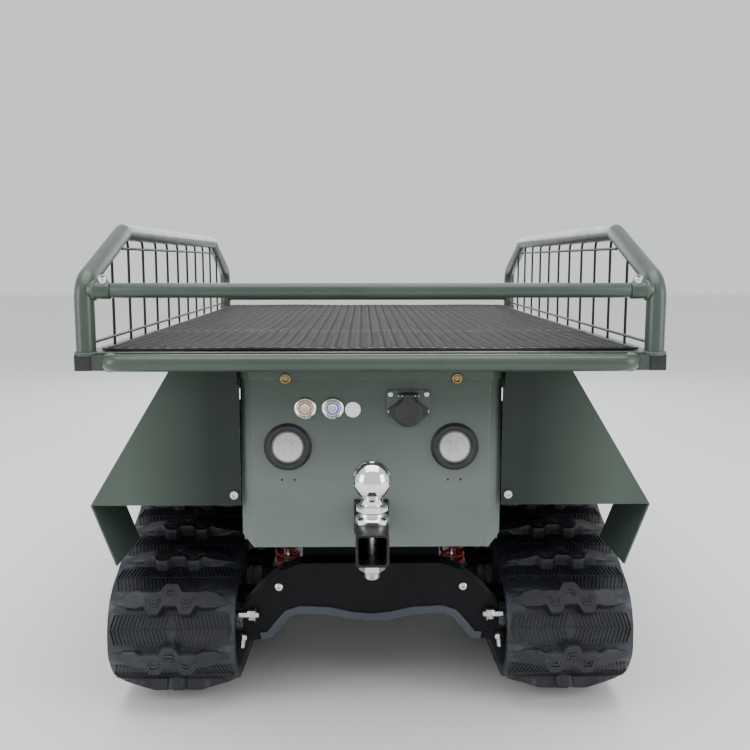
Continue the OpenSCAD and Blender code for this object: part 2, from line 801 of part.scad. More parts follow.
module fasteners() {
    small_r = 3.6;
    nut_r = 8;
    lock_r = 6.8;
    tension_z = 142;
    tension_y = beam_y - nut_r;
    lock_top = [184, beam_y - lock_r, 112];
    lock_low = [186, beam_y - lock_r, 92];
    color(brass) for (x = [-insert_x, insert_x]) difference() {
        y_rod(panel_y - sheet - 2, panel_y + 14, x, insert_z, 7);
        y_rod(panel_y - 10, panel_y + 15, x, insert_z, insert_r);
    }
    color(steel) {
        for (x = [-23.7, 23.7]) for (z = [0.6, 24])
            y_rod(panel_y - 6, panel_y - 3, socket_x + x, socket_z + z, small_r);
        both_sides() {
            y_rod(cover_rear - 6, cover_rear, hull_w / 2 + 9, ridge_z + 15, head_r);
            y_rod(beam_y - 6, beam_y, 132, 181, head_r);
            x_rod(160, 190, tension_y, tension_z, 4.5);
            x_rod(167, 177, tension_y, tension_z, nut_r);
            rod(lock_top, lock_low, 4.5);
            rod(lock_top, lock_top + (lock_low - lock_top) * 0.35, lock_r);
        }
        at_gate_screws() difference() {
            cylinder(h = head_h, r = head_r);
            translate([0, 0, 4]) cylinder(h = head_h, r = 3.4, $fn = 6);
        }
    }
}

module drive_motors() {
    color("#8a8d90") both_sides() difference() {
        union() {
            box([8, sprocket_y - 45, belly_z + sheet], [belly_w / 2 - sheet, sprocket_y + 45, 240]);
            y_rod(sprocket_y - 210, sprocket_y - 45, 52, 192, 42);
        }
        x_rod(50, belly_w, sprocket_y, sprocket_z, 14 + slip);
    }
}

module battery_pack() {
    floor_z = hull_z + sheet;
    color("#38506b") {
        both_sides() box([112, -180, floor_z], [166, 420, floor_z + 170]);
        box([-92, -180, floor_z + 20], [92, 260, floor_z + 170]);
    }
    color(steel) box([-166, -150, floor_z + 4], [166, -100, floor_z + 20]);
}

// ---- What to draw ----

upper_hull();
lower_hull();
hull_lid();
rear_panel();
rear_beam();
rack_frame();
deck_plate();
deck_mats();
rack_rails();
rack_guards();
bumper_bar();
gate_bar();
tube_plugs();
hitch_receiver();
ball_mount();
tow_ball();
lamp_rings();
lamp_lenses();
button_bezels();
push_button(button_xs[0]);  // power_button
push_button(button_xs[1]);  // drive_button
charge_socket();
socket_lid();
marker_disc();
fasteners();
axle_stubs();
drive_motors();
battery_pack();
for (s = SIDES) {
    cover(s);
    belt(s);
    sprocket(s);
    idler(s);
    return_roller(s);
    shock_body(s);
    shock_rod(s);
    shock_spring(s);
    for (i = STATIONS) {
        arm(s, i);
        road_wheel(s, i);
    }
}
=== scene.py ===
import math
import random

import bmesh
import bpy
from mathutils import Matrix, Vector


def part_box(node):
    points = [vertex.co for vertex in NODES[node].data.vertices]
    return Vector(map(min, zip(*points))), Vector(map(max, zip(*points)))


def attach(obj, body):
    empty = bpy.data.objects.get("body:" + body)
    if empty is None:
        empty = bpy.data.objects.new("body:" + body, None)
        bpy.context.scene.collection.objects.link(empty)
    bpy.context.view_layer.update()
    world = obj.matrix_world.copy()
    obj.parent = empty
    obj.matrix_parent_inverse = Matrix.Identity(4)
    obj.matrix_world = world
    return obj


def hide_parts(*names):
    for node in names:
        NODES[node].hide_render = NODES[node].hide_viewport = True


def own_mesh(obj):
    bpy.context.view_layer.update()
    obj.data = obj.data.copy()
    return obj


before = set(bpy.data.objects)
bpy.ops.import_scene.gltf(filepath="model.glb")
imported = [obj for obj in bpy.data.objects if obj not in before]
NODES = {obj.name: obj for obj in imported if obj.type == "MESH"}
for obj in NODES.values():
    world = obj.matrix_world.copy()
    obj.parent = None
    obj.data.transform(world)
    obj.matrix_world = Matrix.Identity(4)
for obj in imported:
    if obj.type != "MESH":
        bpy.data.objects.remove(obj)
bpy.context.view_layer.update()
SIDES = {"left": -1, "right": 1}
ACROSS = Vector((1, 0, 0))
FORWARD = Vector((0, 1, 0))
UP = Vector((0, 0, 1))
random.seed(7)


# ---- Camera, light and floor ----

def aim(obj, target):
    obj.rotation_euler = (Vector(target) - obj.location).to_track_quat("-Z", "Y").to_euler()


def make_camera():
    """The view from behind the vehicle, a little above the rack."""
    data = bpy.data.cameras.new("camera")
    data.lens = 42.24
    camera = bpy.data.objects.new("camera", data)
    bpy.context.scene.collection.objects.link(camera)
    camera.location = (-0.010, -1.648, 0.645)
    camera.rotation_euler = (math.radians(90 - 7.42), 0, math.radians(-0.74))
    bpy.context.scene.camera = camera


def soft_box(name, position, target, width, height, power):
    data = bpy.data.lights.new(name, "AREA")
    data.shape = "RECTANGLE"
    data.size = width
    data.size_y = height
    data.energy = power
    light = bpy.data.objects.new(name, data)
    bpy.context.scene.collection.objects.link(light)
    light.location = position
    aim(light, target)


def make_studio():
    bpy.ops.mesh.primitive_plane_add(size=30, location=(0, 0, -0.0005))
    floor = bpy.context.object
    floor.name = "floor"
    material, shader, _tree = new_material("studio_floor")
    shader.inputs["Base Color"].default_value = (0.86, 0.86, 0.85, 1)
    shader.inputs["Roughness"].default_value = 0.85
    floor.data.materials.append(material)
    world = bpy.data.worlds.new("studio")
    bpy.context.scene.world = world
    world.use_nodes = True
    sky = world.node_tree.nodes["Background"]
    sky.inputs["Color"].default_value = (0.95, 0.97, 1.0, 1)
    sky.inputs["Strength"].default_value = 0.95
    soft_box("top_box", (0, -0.4, 2.6), (0, 0, 0.4), 2.6, 2.2, 55)
    soft_box("left_box", (-2.4, -1.7, 1.1), (0, -0.3, 0.35), 1.2, 1.8, 28)
    soft_box("right_box", (2.4, -1.7, 1.1), (0, -0.3, 0.35), 1.2, 1.8, 28)
    soft_box("front_box", (0, 3.0, 1.6), (0, 0.4, 0.4), 2.4, 1.6, 30)


# ---- Materials ----

def new_material(name):
    material = bpy.data.materials.new(name)
    material.use_nodes = True
    tree = material.node_tree
    return material, tree.nodes["Principled BSDF"], tree


def add(tree, kind, settings=None, **inputs):
    """A shader node; settings are its own fields, and inputs are values or sockets by name."""
    node = tree.nodes.new("ShaderNode" + kind)
    for field, value in (settings or {}).items():
        setattr(node, field, value)
    for name, value in inputs.items():
        socket = node.inputs[int(name[1:])] if name[0] == "_" else node.inputs[name.replace("_", " ")]
        if isinstance(value, bpy.types.NodeSocket):
            tree.links.new(value, socket)
        else:
            socket.default_value = value
    return node


def place(tree, stretch=(1, 1, 1)):
    """The point on the object, in metres, scaled by stretch."""
    spot = add(tree, "TexCoord").outputs["Object"]
    return add(tree, "Mapping", Vector=spot, Scale=stretch).outputs[0]


def noise(tree, scale, detail=3.0, rough=0.55, stretch=(1, 1, 1)):
    node = add(tree, "TexNoise", Vector=place(tree, stretch), Scale=scale, Detail=detail, Roughness=rough)
    return node.outputs["Fac"]


def ramp(tree, value, low, high, start=0.0, end=1.0):
    """value's place between low and high, clamped and put between start and end."""
    node = add(tree, "MapRange", Value=value, From_Min=low, From_Max=high, To_Min=start, To_Max=end)
    return node.outputs[0]


def mix(tree, share, first, second):
    node = add(tree, "Mix", {"data_type": "RGBA"})
    for socket, value in ((node.inputs[0], share), (node.inputs[6], first), (node.inputs[7], second)):
        if isinstance(value, bpy.types.NodeSocket):
            tree.links.new(value, socket)
        else:
            socket.default_value = value
    return node.outputs[2]


def math_node(tree, operation, first, second):
    return add(tree, "Math", {"operation": operation}, _0=first, _1=second).outputs[0]


def edge_mask(tree, radius):
    """1 on the object's outer edges, 0 on its flat faces."""
    bevel = add(tree, "Bevel", {"samples": 4}, Radius=radius).outputs[0]
    flat = add(tree, "NewGeometry").outputs["Normal"]
    dot = add(tree, "VectorMath", {"operation": "DOT_PRODUCT"}, _0=bevel, _1=flat).outputs["Value"]
    return ramp(tree, dot, 0.985, 0.90)


def set_bump(tree, shader, height, strength, distance, radius):
    """A bump over edges that are rounded to radius."""
    bump = add(tree, "Bump", Height=height, Strength=strength, Distance=distance)
    tree.links.new(add(tree, "Bevel", {"samples": 4}, Radius=radius).outputs[0], bump.inputs["Normal"])
    tree.links.new(bump.outputs[0], shader.inputs["Normal"])


def painted(name, base, light, dark, rough, coat=0.0, wear=None, grain=900.0, edge=0.0012, painted_reflection=None,
            specular=0.5):
    """Powder coat or paint: slow shade changes, fine grain, faint streaks, and wear on its edges.
    painted_reflection is (axis, from, to, tone): a painted reflection of that tone comes in along that axis,
    by distance from zero."""
    material, shader, tree = new_material(name)
    patches = ramp(tree, noise(tree, 5.0, 4.0), 0.35, 0.68)
    streaks = ramp(tree, noise(tree, 14.0, 5.0, 0.7, (1, 1, 0.16)), 0.52, 0.75, 0.0, 0.55)
    colour = mix(tree, patches, (*base, 1), (*light, 1))
    colour = mix(tree, streaks, colour, (*dark, 1))
    # Painted reflection: a lighter tone blended in by position along one axis, standing in for reflected
    # light.
    if painted_reflection:
        axis, start, end, tone = painted_reflection
        along = math_node(tree, "ABSOLUTE", add(tree, "SeparateXYZ", Vector=place(tree)).outputs[axis], 0.0)
        cloud = ramp(tree, noise(tree, 7.0, 3.0), 0.3, 0.7, 0.75, 1.0)
        share = math_node(tree, "MULTIPLY", ramp(tree, along, start, end), cloud)
        colour = mix(tree, share, colour, (*tone, 1))
    if wear:
        spots = ramp(tree, noise(tree, 260.0, 4.0, 0.7), 0.50, 0.62)
        rubbed = math_node(tree, "MULTIPLY", edge_mask(tree, edge), spots)
        colour = mix(tree, math_node(tree, "MULTIPLY", rubbed, 0.8), colour, (*wear, 1))
    tree.links.new(colour, shader.inputs["Base Color"])
    smears = ramp(tree, noise(tree, 22.0, 5.0, 0.65), 0.3, 0.7, rough - 0.06, rough + 0.09)
    tree.links.new(smears, shader.inputs["Roughness"])
    shader.inputs["Coat Weight"].default_value = coat
    shader.inputs["Specular IOR Level"].default_value = specular
    shader.inputs["Coat Roughness"].default_value = 0.3
    set_bump(tree, shader, noise(tree, grain, 2.0), 0.22, 0.0004, edge)
    return material


def rubbery(name, base, dust, rough, share=0.5, grain=420.0, edge=0.0010):
    """Moulded rubber: dust in patches, scuffed edges, and a fine pitted skin."""
    material, shader, tree = new_material(name)
    cloud = ramp(tree, noise(tree, 16.0, 6.0, 0.7), 0.42, 0.72)
    specks = ramp(tree, noise(tree, 150.0, 3.0, 0.6), 0.40, 0.70)
    film = math_node(tree, "MULTIPLY", math_node(tree, "MULTIPLY", cloud, specks), share)
    scrapes = ramp(tree, noise(tree, 90.0, 4.0), 0.40, 0.65, 0.0, 0.5)
    scuff = math_node(tree, "MULTIPLY", edge_mask(tree, edge), scrapes)
    cover = math_node(tree, "MAXIMUM", film, scuff)
    tree.links.new(mix(tree, cover, (*base, 1), (*dust, 1)), shader.inputs["Base Color"])
    tree.links.new(ramp(tree, cover, 0.0, 0.6, rough, min(1.0, rough + 0.25)), shader.inputs["Roughness"])
    shader.inputs["Specular IOR Level"].default_value = 0.45
    set_bump(tree, shader, noise(tree, grain, 4.0, 0.7), 0.35, 0.0006, edge)
    return material


def metallic(name, base, tint, rough, stretch=(1, 1, 1), grain=240.0, stain=0.35):
    """Bare or plated metal with fine scratches and a little tarnish."""
    material, shader, tree = new_material(name)
    shader.inputs["Metallic"].default_value = 1.0
    marks = ramp(tree, noise(tree, 34.0, 5.0, 0.7), 0.50, 0.75, 0.0, stain)
    tree.links.new(mix(tree, marks, (*base, 1), (*tint, 1)), shader.inputs["Base Color"])
    lines = noise(tree, grain, 3.0, 0.6, stretch)
    tree.links.new(ramp(tree, lines, 0.3, 0.7, rough * 0.7, rough * 1.4 + 0.02), shader.inputs["Roughness"])
    set_bump(tree, shader, lines, 0.12, 0.0002, 0.0005)
    return material


def moulded(name, base, rough, grain=700.0):
    """Plastic with a fine spark-eroded grain and faint scratches."""
    material, shader, tree = new_material(name)
    light = tuple(min(1.0, value * 1.6 + 0.012) for value in base)
    worn = ramp(tree, noise(tree, 60.0, 4.0, 0.6), 0.45, 0.75, 0.0, 0.6)
    tree.links.new(mix(tree, worn, (*base, 1), (*light, 1)), shader.inputs["Base Color"])
    tree.links.new(ramp(tree, worn, 0.0, 0.6, rough, rough + 0.14), shader.inputs["Roughness"])
    set_bump(tree, shader, noise(tree, grain, 2.0), 0.3, 0.0003, 0.0005)
    return material


def glowing(name, base, glow, strength):
    """A lit plastic ring: brighter and dimmer round its length, over a matt skin."""
    material, shader, tree = new_material(name)
    shader.inputs["Base Color"].default_value = (*base, 1)
    shader.inputs["Roughness"].default_value = 0.4
    shader.inputs["Emission Color"].default_value = (*glow, 1)
    tree.links.new(ramp(tree, noise(tree, 120.0, 2.0), 0.3, 0.7, strength * 0.8, strength * 1.2),
                   shader.inputs["Emission Strength"])
    return material


# ---- Mesh making ----

def turn_to(axis):
    """The rotation that lays Z along axis."""
    return Vector(axis).to_track_quat("Z", "Y").to_matrix()


def ring(centre, turn, radius, height, sides):
    """Points on a circle round centre, height up the turned axis."""
    return [Vector(centre) + turn @ Vector((radius * math.cos(math.tau * k / sides),
                                            radius * math.sin(math.tau * k / sides), height))
            for k in range(sides)]


def key_ring(centre, turn, radius, height, sides):
    """Points round the hexagon of a screw's recess, as many as on its round rings."""
    points = []
    for k in range(sides):
        angle = math.tau * k / sides
        sector = (angle % (math.tau / 6)) - math.pi / 6
        reach = radius * math.cos(math.pi / 6) / math.cos(sector)
        corner = Vector((reach * math.cos(angle), reach * math.sin(angle), height))
        points.append(Vector(centre) + turn @ corner)
    return points


class Shape:
    """Vertices and faces gathered into one mesh."""

    def __init__(self):
        self.points = []
        self.faces = []

    def grid(self, rows, closed_rows=False, closed_columns=False, cap=False):
        """Quads between rows of points, each row with the same number of points."""
        start, count, size = len(self.points), len(rows), len(rows[0])
        for row in rows:
            self.points.extend(row)
        for i in range(count if closed_rows else count - 1):
            for k in range(size if closed_columns else size - 1):
                j, n = (i + 1) % count, (k + 1) % size
                self.faces.append([start + i * size + k, start + i * size + n,
                                   start + j * size + n, start + j * size + k])
        if cap:
            self.faces.append([start + k for k in reversed(range(size))])
            self.faces.append([start + (count - 1) * size + k for k in range(size)])

    def lathe(self, profile, centre, axis, sides=48):
        """A profile of (radius, distance along the axis) turned round the axis."""
        turn = turn_to(axis)
        self.grid([ring(centre, turn, radius, height, sides) for radius, height in profile],
                  closed_columns=True, cap=True)

    def tube(self, points, radius, sides=20):
        """A round tube along points."""
        points = [Vector(p) for p in points]
        count = len(points)
        rows = []
        normal = None
        for i, point in enumerate(points):
            before = points[i - 1] if i else point
            after = points[i + 1] if i < count - 1 else point
            along = (after - before).normalized()
            if normal is None:
                normal = along.orthogonal().normalized()
            normal = (normal - along * normal.dot(along)).normalized()
            side = along.cross(normal)
            rows.append([point + radius * (math.cos(math.tau * k / sides) * normal
                                           + math.sin(math.tau * k / sides) * side) for k in range(sides)])
        self.grid(rows, closed_columns=True, cap=True)

    def prism(self, outline, low, high, place_point, inset=0.0):
        """An outline of (u, v) raised from low to high, its top drawn in by inset."""
        centre = Vector((sum(p[0] for p in outline), sum(p[1] for p in outline))) / len(outline)
        drawn = [Vector(p) + (centre - Vector(p)).normalized() * inset for p in outline]
        rows = [[place_point(p[0], p[1], low) for p in outline]]
        if inset:
            rows.append([place_point(p[0], p[1], high - inset) for p in outline])
        rows.append([place_point(p[0], p[1], high) for p in drawn])
        self.grid(rows, closed_columns=True, cap=True)

    def box(self, low, high):
        """A plain box, to be rounded by the piece's bevel."""
        outline = [(low[0], low[1]), (high[0], low[1]), (high[0], high[1]), (low[0], high[1])]
        self.prism(outline, low[2], high[2], lambda u, v, w: Vector((u, v, w)))

    def mirrored(self):
        other = Shape()
        other.points = [Vector((-p[0], p[1], p[2])) for p in self.points]
        other.faces = [list(reversed(face)) for face in self.faces]
        return other

    def piece(self, name, material, slot, body="root", smooth=None, bevel=0.0, stands_for=()):
        """The finished Blender object. smooth is the angle in degrees under which edges shade softly."""
        mesh = bpy.data.meshes.new(name)
        mesh.from_pydata([tuple(p) for p in self.points], [], self.faces)
        mesh.validate()
        mesh.materials.append(material)
        obj = bpy.data.objects.new(name, mesh)
        bpy.context.scene.collection.objects.link(obj)
        finish_piece(obj, body, smooth, bevel, stands_for)
        return obj


def finish_piece(obj, body, smooth, bevel, stands_for):
    if bevel:
        round_edges(obj, bevel)
    mesh = obj.data
    fix_normals(mesh)
    if smooth:
        mesh.shade_smooth()
        mesh.set_sharp_from_angle(angle=math.radians(smooth))
    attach(obj, body)
    if stands_for:
        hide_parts(*stands_for)


def fix_normals(mesh):
    work = bmesh.new()
    work.from_mesh(mesh)
    bmesh.ops.recalc_face_normals(work, faces=work.faces)
    work.to_mesh(mesh)
    work.free()


def round_edges(obj, width):
    bevel = obj.modifiers.new("rounded", "BEVEL")
    bevel.width = width
    bevel.segments = 2
    bevel.limit_method = "ANGLE"
    bevel.angle_limit = math.radians(35)
    bevel.harden_normals = False


# ---- The belts' path: five wheels, as (y, z, radius), clockwise as seen from the right ----

PITCH = 0.072
TEETH = 9
CARCASS = 0.014
LUG_HEIGHT = 0.016
BELT_X = 0.282
HALF_BELT = 0.090
SPROCKET_R = TEETH * PITCH / math.tau - CARCASS / 2
IDLER_LOW, IDLER_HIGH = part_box("idler_right")
CARRIERS = [((IDLER_LOW.y + IDLER_HIGH.y) / 2, 0.112, 0.070), (-0.165, 0.225, 0.045),
            (0.500, 0.180, SPROCKET_R), (0.315, 0.090, 0.060), (-0.225, 0.090, 0.060)]


def carrier(i):
    return CARRIERS[i % len(CARRIERS)]


def straight_normal(i):
    """Direction of the outward normal between wheel i and the next."""
    (y0, z0, r0), (y1, z1, r1) = carrier(i), carrier(i + 1)
    return math.atan2(z1 - z0, y1 - y0) + math.acos((r0 - r1) / math.hypot(y1 - y0, z1 - z0))


def path_parts():
    """The path as arcs and straights: (length at the cord, function of the share travelled)."""
    parts = []
    for i in range(len(CARRIERS)):
        y, z, r = carrier(i)
        first, last = straight_normal(i - 1), straight_normal(i)
        turn = (first - last) % math.tau

        def arc(share, lift, y=y, z=z, r=r, first=first, turn=turn):
            angle = first - turn * share
            return (y + (r + lift) * math.cos(angle), z + (r + lift) * math.sin(angle))

        def straight(share, lift, ends=(carrier(i), carrier(i + 1)), last=last):
            a, b = [(wy + (wr + lift) * math.cos(last), wz + (wr + lift) * math.sin(last))
                    for wy, wz, wr in ends]
            return (a[0] + (b[0] - a[0]) * share, a[1] + (b[1] - a[1]) * share)

        parts.append((turn * (r + CARCASS / 2), arc))
        parts.append((math.dist(straight(0, 0), straight(1, 0)), straight))
    return parts


PARTS = path_parts()
BELT_LENGTH = sum(length for length, _curve in PARTS)
LUGS = round(BELT_LENGTH / PITCH)
STEP = BELT_LENGTH / LUGS
PHASE = 0.0254


def on_belt(x, along, lift):
    """The point at distance along the right belt's path, x across it, and lift above its inner face."""
    along = (along + PHASE) % BELT_LENGTH
    for length, curve in PARTS:
        if along <= length:
            y, z = curve(along / length, lift)
            return Vector((BELT_X + x, y, z))
        along -= length
    return on_belt(x, -PHASE, lift)


def skin(x):
    """Height of the belt's outer face above its inner face, at x across it."""
    return CARCASS - 0.0035 * max(0.0, (abs(x) - 0.070) / (HALF_BELT - 0.070)) ** 2


def lug_height(x):
    """A lug is highest in its middle third and slopes down to the belt's edges."""
    flat, edge = 0.034, 0.0865
    slope = max(0.0, (abs(x) - flat) / (edge - flat))
    return LUG_HEIGHT * (1 - slope) + 0.0015 * slope


def bump(x, centre, half_width):
    """A hump of height 1 round centre, with a flat top and steep sides."""
    distance = min(1.0, max(0.0, (abs(x - centre) / half_width - 0.42) / 0.58))
    return 0.5 + 0.5 * math.cos(math.pi * distance)


def lug_edge(x, side):
    """Where a lug's wall stands along the belt: one lobe on one side, two on the other."""
    body = 0.0085 - 0.0040 * max(0.0, (abs(x) - 0.040) / 0.047)
    shoulder = 0.0035 * bump(abs(x), 0.055, 0.016)
    if side > 0:
        return body + 0.0100 * bump(x, 0, 0.0170) + shoulder
    return -(body + 0.0098 * bump(abs(x), 0.0225, 0.0150) + shoulder * 0.6)


def band_piece(side, material):
    """The belt's carcass, with rounded edges and a groove beside each edge."""
    profile = [(-0.0900, 0.003), (-0.0900, 0.0085)]
    steps = 14
    for k in range(steps + 1):
        x = -0.0885 + 0.177 * k / steps
        profile.append((x, skin(x)))
    profile += [(0.0900, 0.0085), (0.0900, 0.003), (0.0870, 0), (0.0, 0.0), (-0.0870, 0)]
    rows = []
    count = LUGS * 6
    for i in range(count):
        rows.append([on_belt(x, BELT_LENGTH * i / count, lift) for x, lift in profile])
    shape = Shape()
    shape.grid(rows, closed_rows=True, closed_columns=True)
    finish_track(shape, side, "track_band", material, 50)


def lugs_piece(side, material):
    """The tread's lugs: a bar with lobes, drafted walls and a shallow hollow along its top."""
    shape = Shape()
    columns = 56
    for k in range(LUGS):
        middle = k * STEP
        rows = []
        for c in range(columns + 1):
            x = -0.0865 + 0.173 * c / columns
            low, high, top = lug_edge(x, -1), lug_edge(x, 1), lug_height(x)
            base = skin(x) - 0.0006
            rise = base + top
            row = []
            for edge, inward in ((low, 1), (high, -1)):
                foot = (edge - inward * 0.0030, base)
                waist = (edge - inward * 0.0008, base + top * 0.30)
                wall = (edge, base + top * 0.86)
                brow = (edge + inward * 0.0016, rise)
                row.append([foot, waist, wall, brow] if inward > 0 else [brow, wall, waist, foot])
            dip = ((low + high) / 2, rise - 0.0010)
            rows.append([on_belt(x, middle + s, h) for s, h in row[0] + [dip] + row[1]])
        shape.grid(rows, cap=True)
    finish_track(shape, side, "track_lugs", material, 38)


def pads_piece(side, material):
    """Smooth lens-shaped pads at both edges of each lug."""
    shape = Shape()
    columns, across = 12, 6
    for k in range(LUGS):
        for edge in (-1, 1):
            rows = []
            for c in range(columns + 1):
                share = c / columns
                x = edge * (0.034 + 0.0550 * share)
                half = 0.0085 + 0.0070 * share
                row = []
                for a in range(across + 1):
                    s = half * (2 * a / across - 1)
                    crown = 0.0034 * (1 - abs(2 * a / across - 1) ** 4) * (1 - 0.45 * share)
                    row.append(on_belt(x, k * STEP + s, skin(x) + crown - 0.0004))
                rows.append(row)
            shape.grid(rows)
    finish_track(shape, side, "track_pads", material, 60)


def ribs_piece(side, material):
    """Fine slanted ribs in two rows between the lugs, mirrored about the rows' own line."""
    shape = Shape()
    width, height, spacing, lean = 0.0019, 0.0016, 0.0054, 0.34
    section = ((-width / 2, -0.0005), (-width / 4, height), (width / 4, height), (width / 2, -0.0005))
    rows_at = ((0.0165, 0.0355, 1), (0.0375, STEP - 0.0165, -1))
    for k in range(LUGS):
        start = k * STEP
        for low, high, way in rows_at:
            for half in (-1, 1):
                for n in range(16):
                    near = 0.0035 + spacing * n
                    points = []
                    for share in (0, 0.5, 1):
                        s = low + (high - low) * share
                        shift = lean * (high - low) * (share if way > 0 else 1 - share)
                        x = half * (near + shift)
                        points.append((x, s))
                    if abs(points[0][0]) > 0.0865 or abs(points[-1][0]) > 0.0865:
                        continue
                    shape.grid([[on_belt(x + off, start + s, skin(x) + lift) for off, lift in section]
                                for x, s in points], cap=True)
        line = []
        for n in range(13):
            x = -0.084 + 0.168 * n / 12
            base = skin(x)
            line.append([on_belt(x, start + s, base + lift) for s, lift in
                         ((0.0357, -0.0005), (0.0361, 0.0013), (0.0369, 0.0013), (0.0373, -0.0005))])
        shape.grid(line, cap=True)
    finish_track(shape, side, "track_ribs", material, 30)


def marks_piece(side, material):
    """The outline of the steel core that shows through the top of each lug."""
    shape = Shape()
    wide = 0.0011
    for k in range(LUGS):
        strokes = [[(-0.038, 0), (0.038, 0)]]
        for centre, way in ((0, 1), (-0.0225, -1), (0.0225, -1)):
            for wide_at, tall in ((0.0080, 0.0088), (0.0045, 0.0050)):
                strokes.append([(centre - wide_at, 0), (centre - wide_at * 0.62, way * tall),
                                (centre + wide_at * 0.62, way * tall), (centre + wide_at, 0)])
        for stroke in strokes:
            for (x0, s0), (x1, s1) in zip(stroke, stroke[1:]):
                a, b = Vector((x0, s0)), Vector((x1, s1))
                off = (b - a).normalized().orthogonal() * wide / 2
                corners = [a + off, a - off, b - off, b + off]

                def on_lug(u, v, w, k=k):
                    sunk = 0.0006 if abs(v) < 0.001 else 0.0004
                    return on_belt(u, k * STEP + v, skin(u) + lug_height(u) - sunk + w)

                shape.prism([tuple(p) for p in corners], -0.0012, 0.0005, on_lug)
    finish_track(shape, side, "track_core_marks", material, 30)


def horns_piece(side, material):
    """The guide horns on the inner face, which run between the wheels' discs."""
    shape = Shape()
    levels = ((0.001, 0.0138, 0.0120), (-0.004, 0.0120, 0.0112), (-0.017, 0.0086, 0.0098),
              (-0.0205, 0.0070, 0.0084), (-0.0218, 0.0052, 0.0064))
    for k in range(LUGS):
        rows = []
        for lift, half_s, half_x in levels:
            corner = 0.003
            ring = []
            for sx, ss in ((1, 1), (-1, 1), (-1, -1), (1, -1)):
                for turn in ((corner, 0), (0, corner)) if sx * ss > 0 else ((0, corner), (corner, 0)):
                    ring.append(on_belt(sx * (half_x - turn[0]), k * STEP + ss * (half_s - turn[1]), lift))
            rows.append(ring)
        shape.grid(rows, closed_columns=True, cap=True)
    finish_track(shape, side, "track_horns", material, 40)


def finish_track(shape, side, name, material, smooth):
    """Track shapes are made for the right side and mirrored for the left."""
    shape = shape.mirrored() if side == "left" else shape
    shape.piece(f"{name}_{side}", material, "track_rubber", smooth=smooth, stands_for=(f"belt_{side}",))


# ---- Rack ----

RAIL_R = 0.0125
RAIL_DROP = 0.070
RAIL_RUN = 0.194


def arc_corner(a, b, c, radius, steps=8):
    """Points along a round bend at corner b, between a and c."""
    a, b, c = Vector(a), Vector(b), Vector(c)
    u, v = (a - b).normalized(), (c - b).normalized()
    half = math.acos(max(-1.0, min(1.0, u.dot(v)))) / 2
    middle = (u + v).normalized()
    centre = b + middle * radius / math.sin(half)
    side = (u - v).normalized()
    points = []
    for k in range(steps + 1):
        angle = (1 - 2 * k / steps) * (math.pi / 2 - half)
        points.append(centre - middle * radius * math.cos(angle) + side * radius * math.sin(angle))
    return points


def bent_path(corners, radius):
    """A path through corners, with each inner corner rounded."""
    path = [Vector(corners[0])]
    for a, b, c in zip(corners, corners[1:], corners[2:]):
        path += arc_corner(a, b, c, radius)
    return path + [Vector(corners[-1])]


def weld(shape, centre, axis, radius, bead=0.0024):
    """A ring of overlapping beads, as a torch leaves it."""
    turn = turn_to(axis)
    rows = []
    beads = 26
    around = beads * 4
    for i in range(around):
        angle = math.tau * i / around
        lump = bead * (0.80 + 0.25 * abs(math.sin(angle * beads / 2)) + 0.12 * random.random())
        ring = []
        for k in range(8):
            tilt = math.tau * k / 8
            out = radius + lump * math.cos(tilt) * 0.9
            ring.append(Vector(centre) + turn @ Vector((out * math.cos(angle), out * math.sin(angle),
                                                       lump * 1.2 * math.sin(tilt))))
        rows.append(ring)
    shape.grid(rows, closed_rows=True, closed_columns=True)


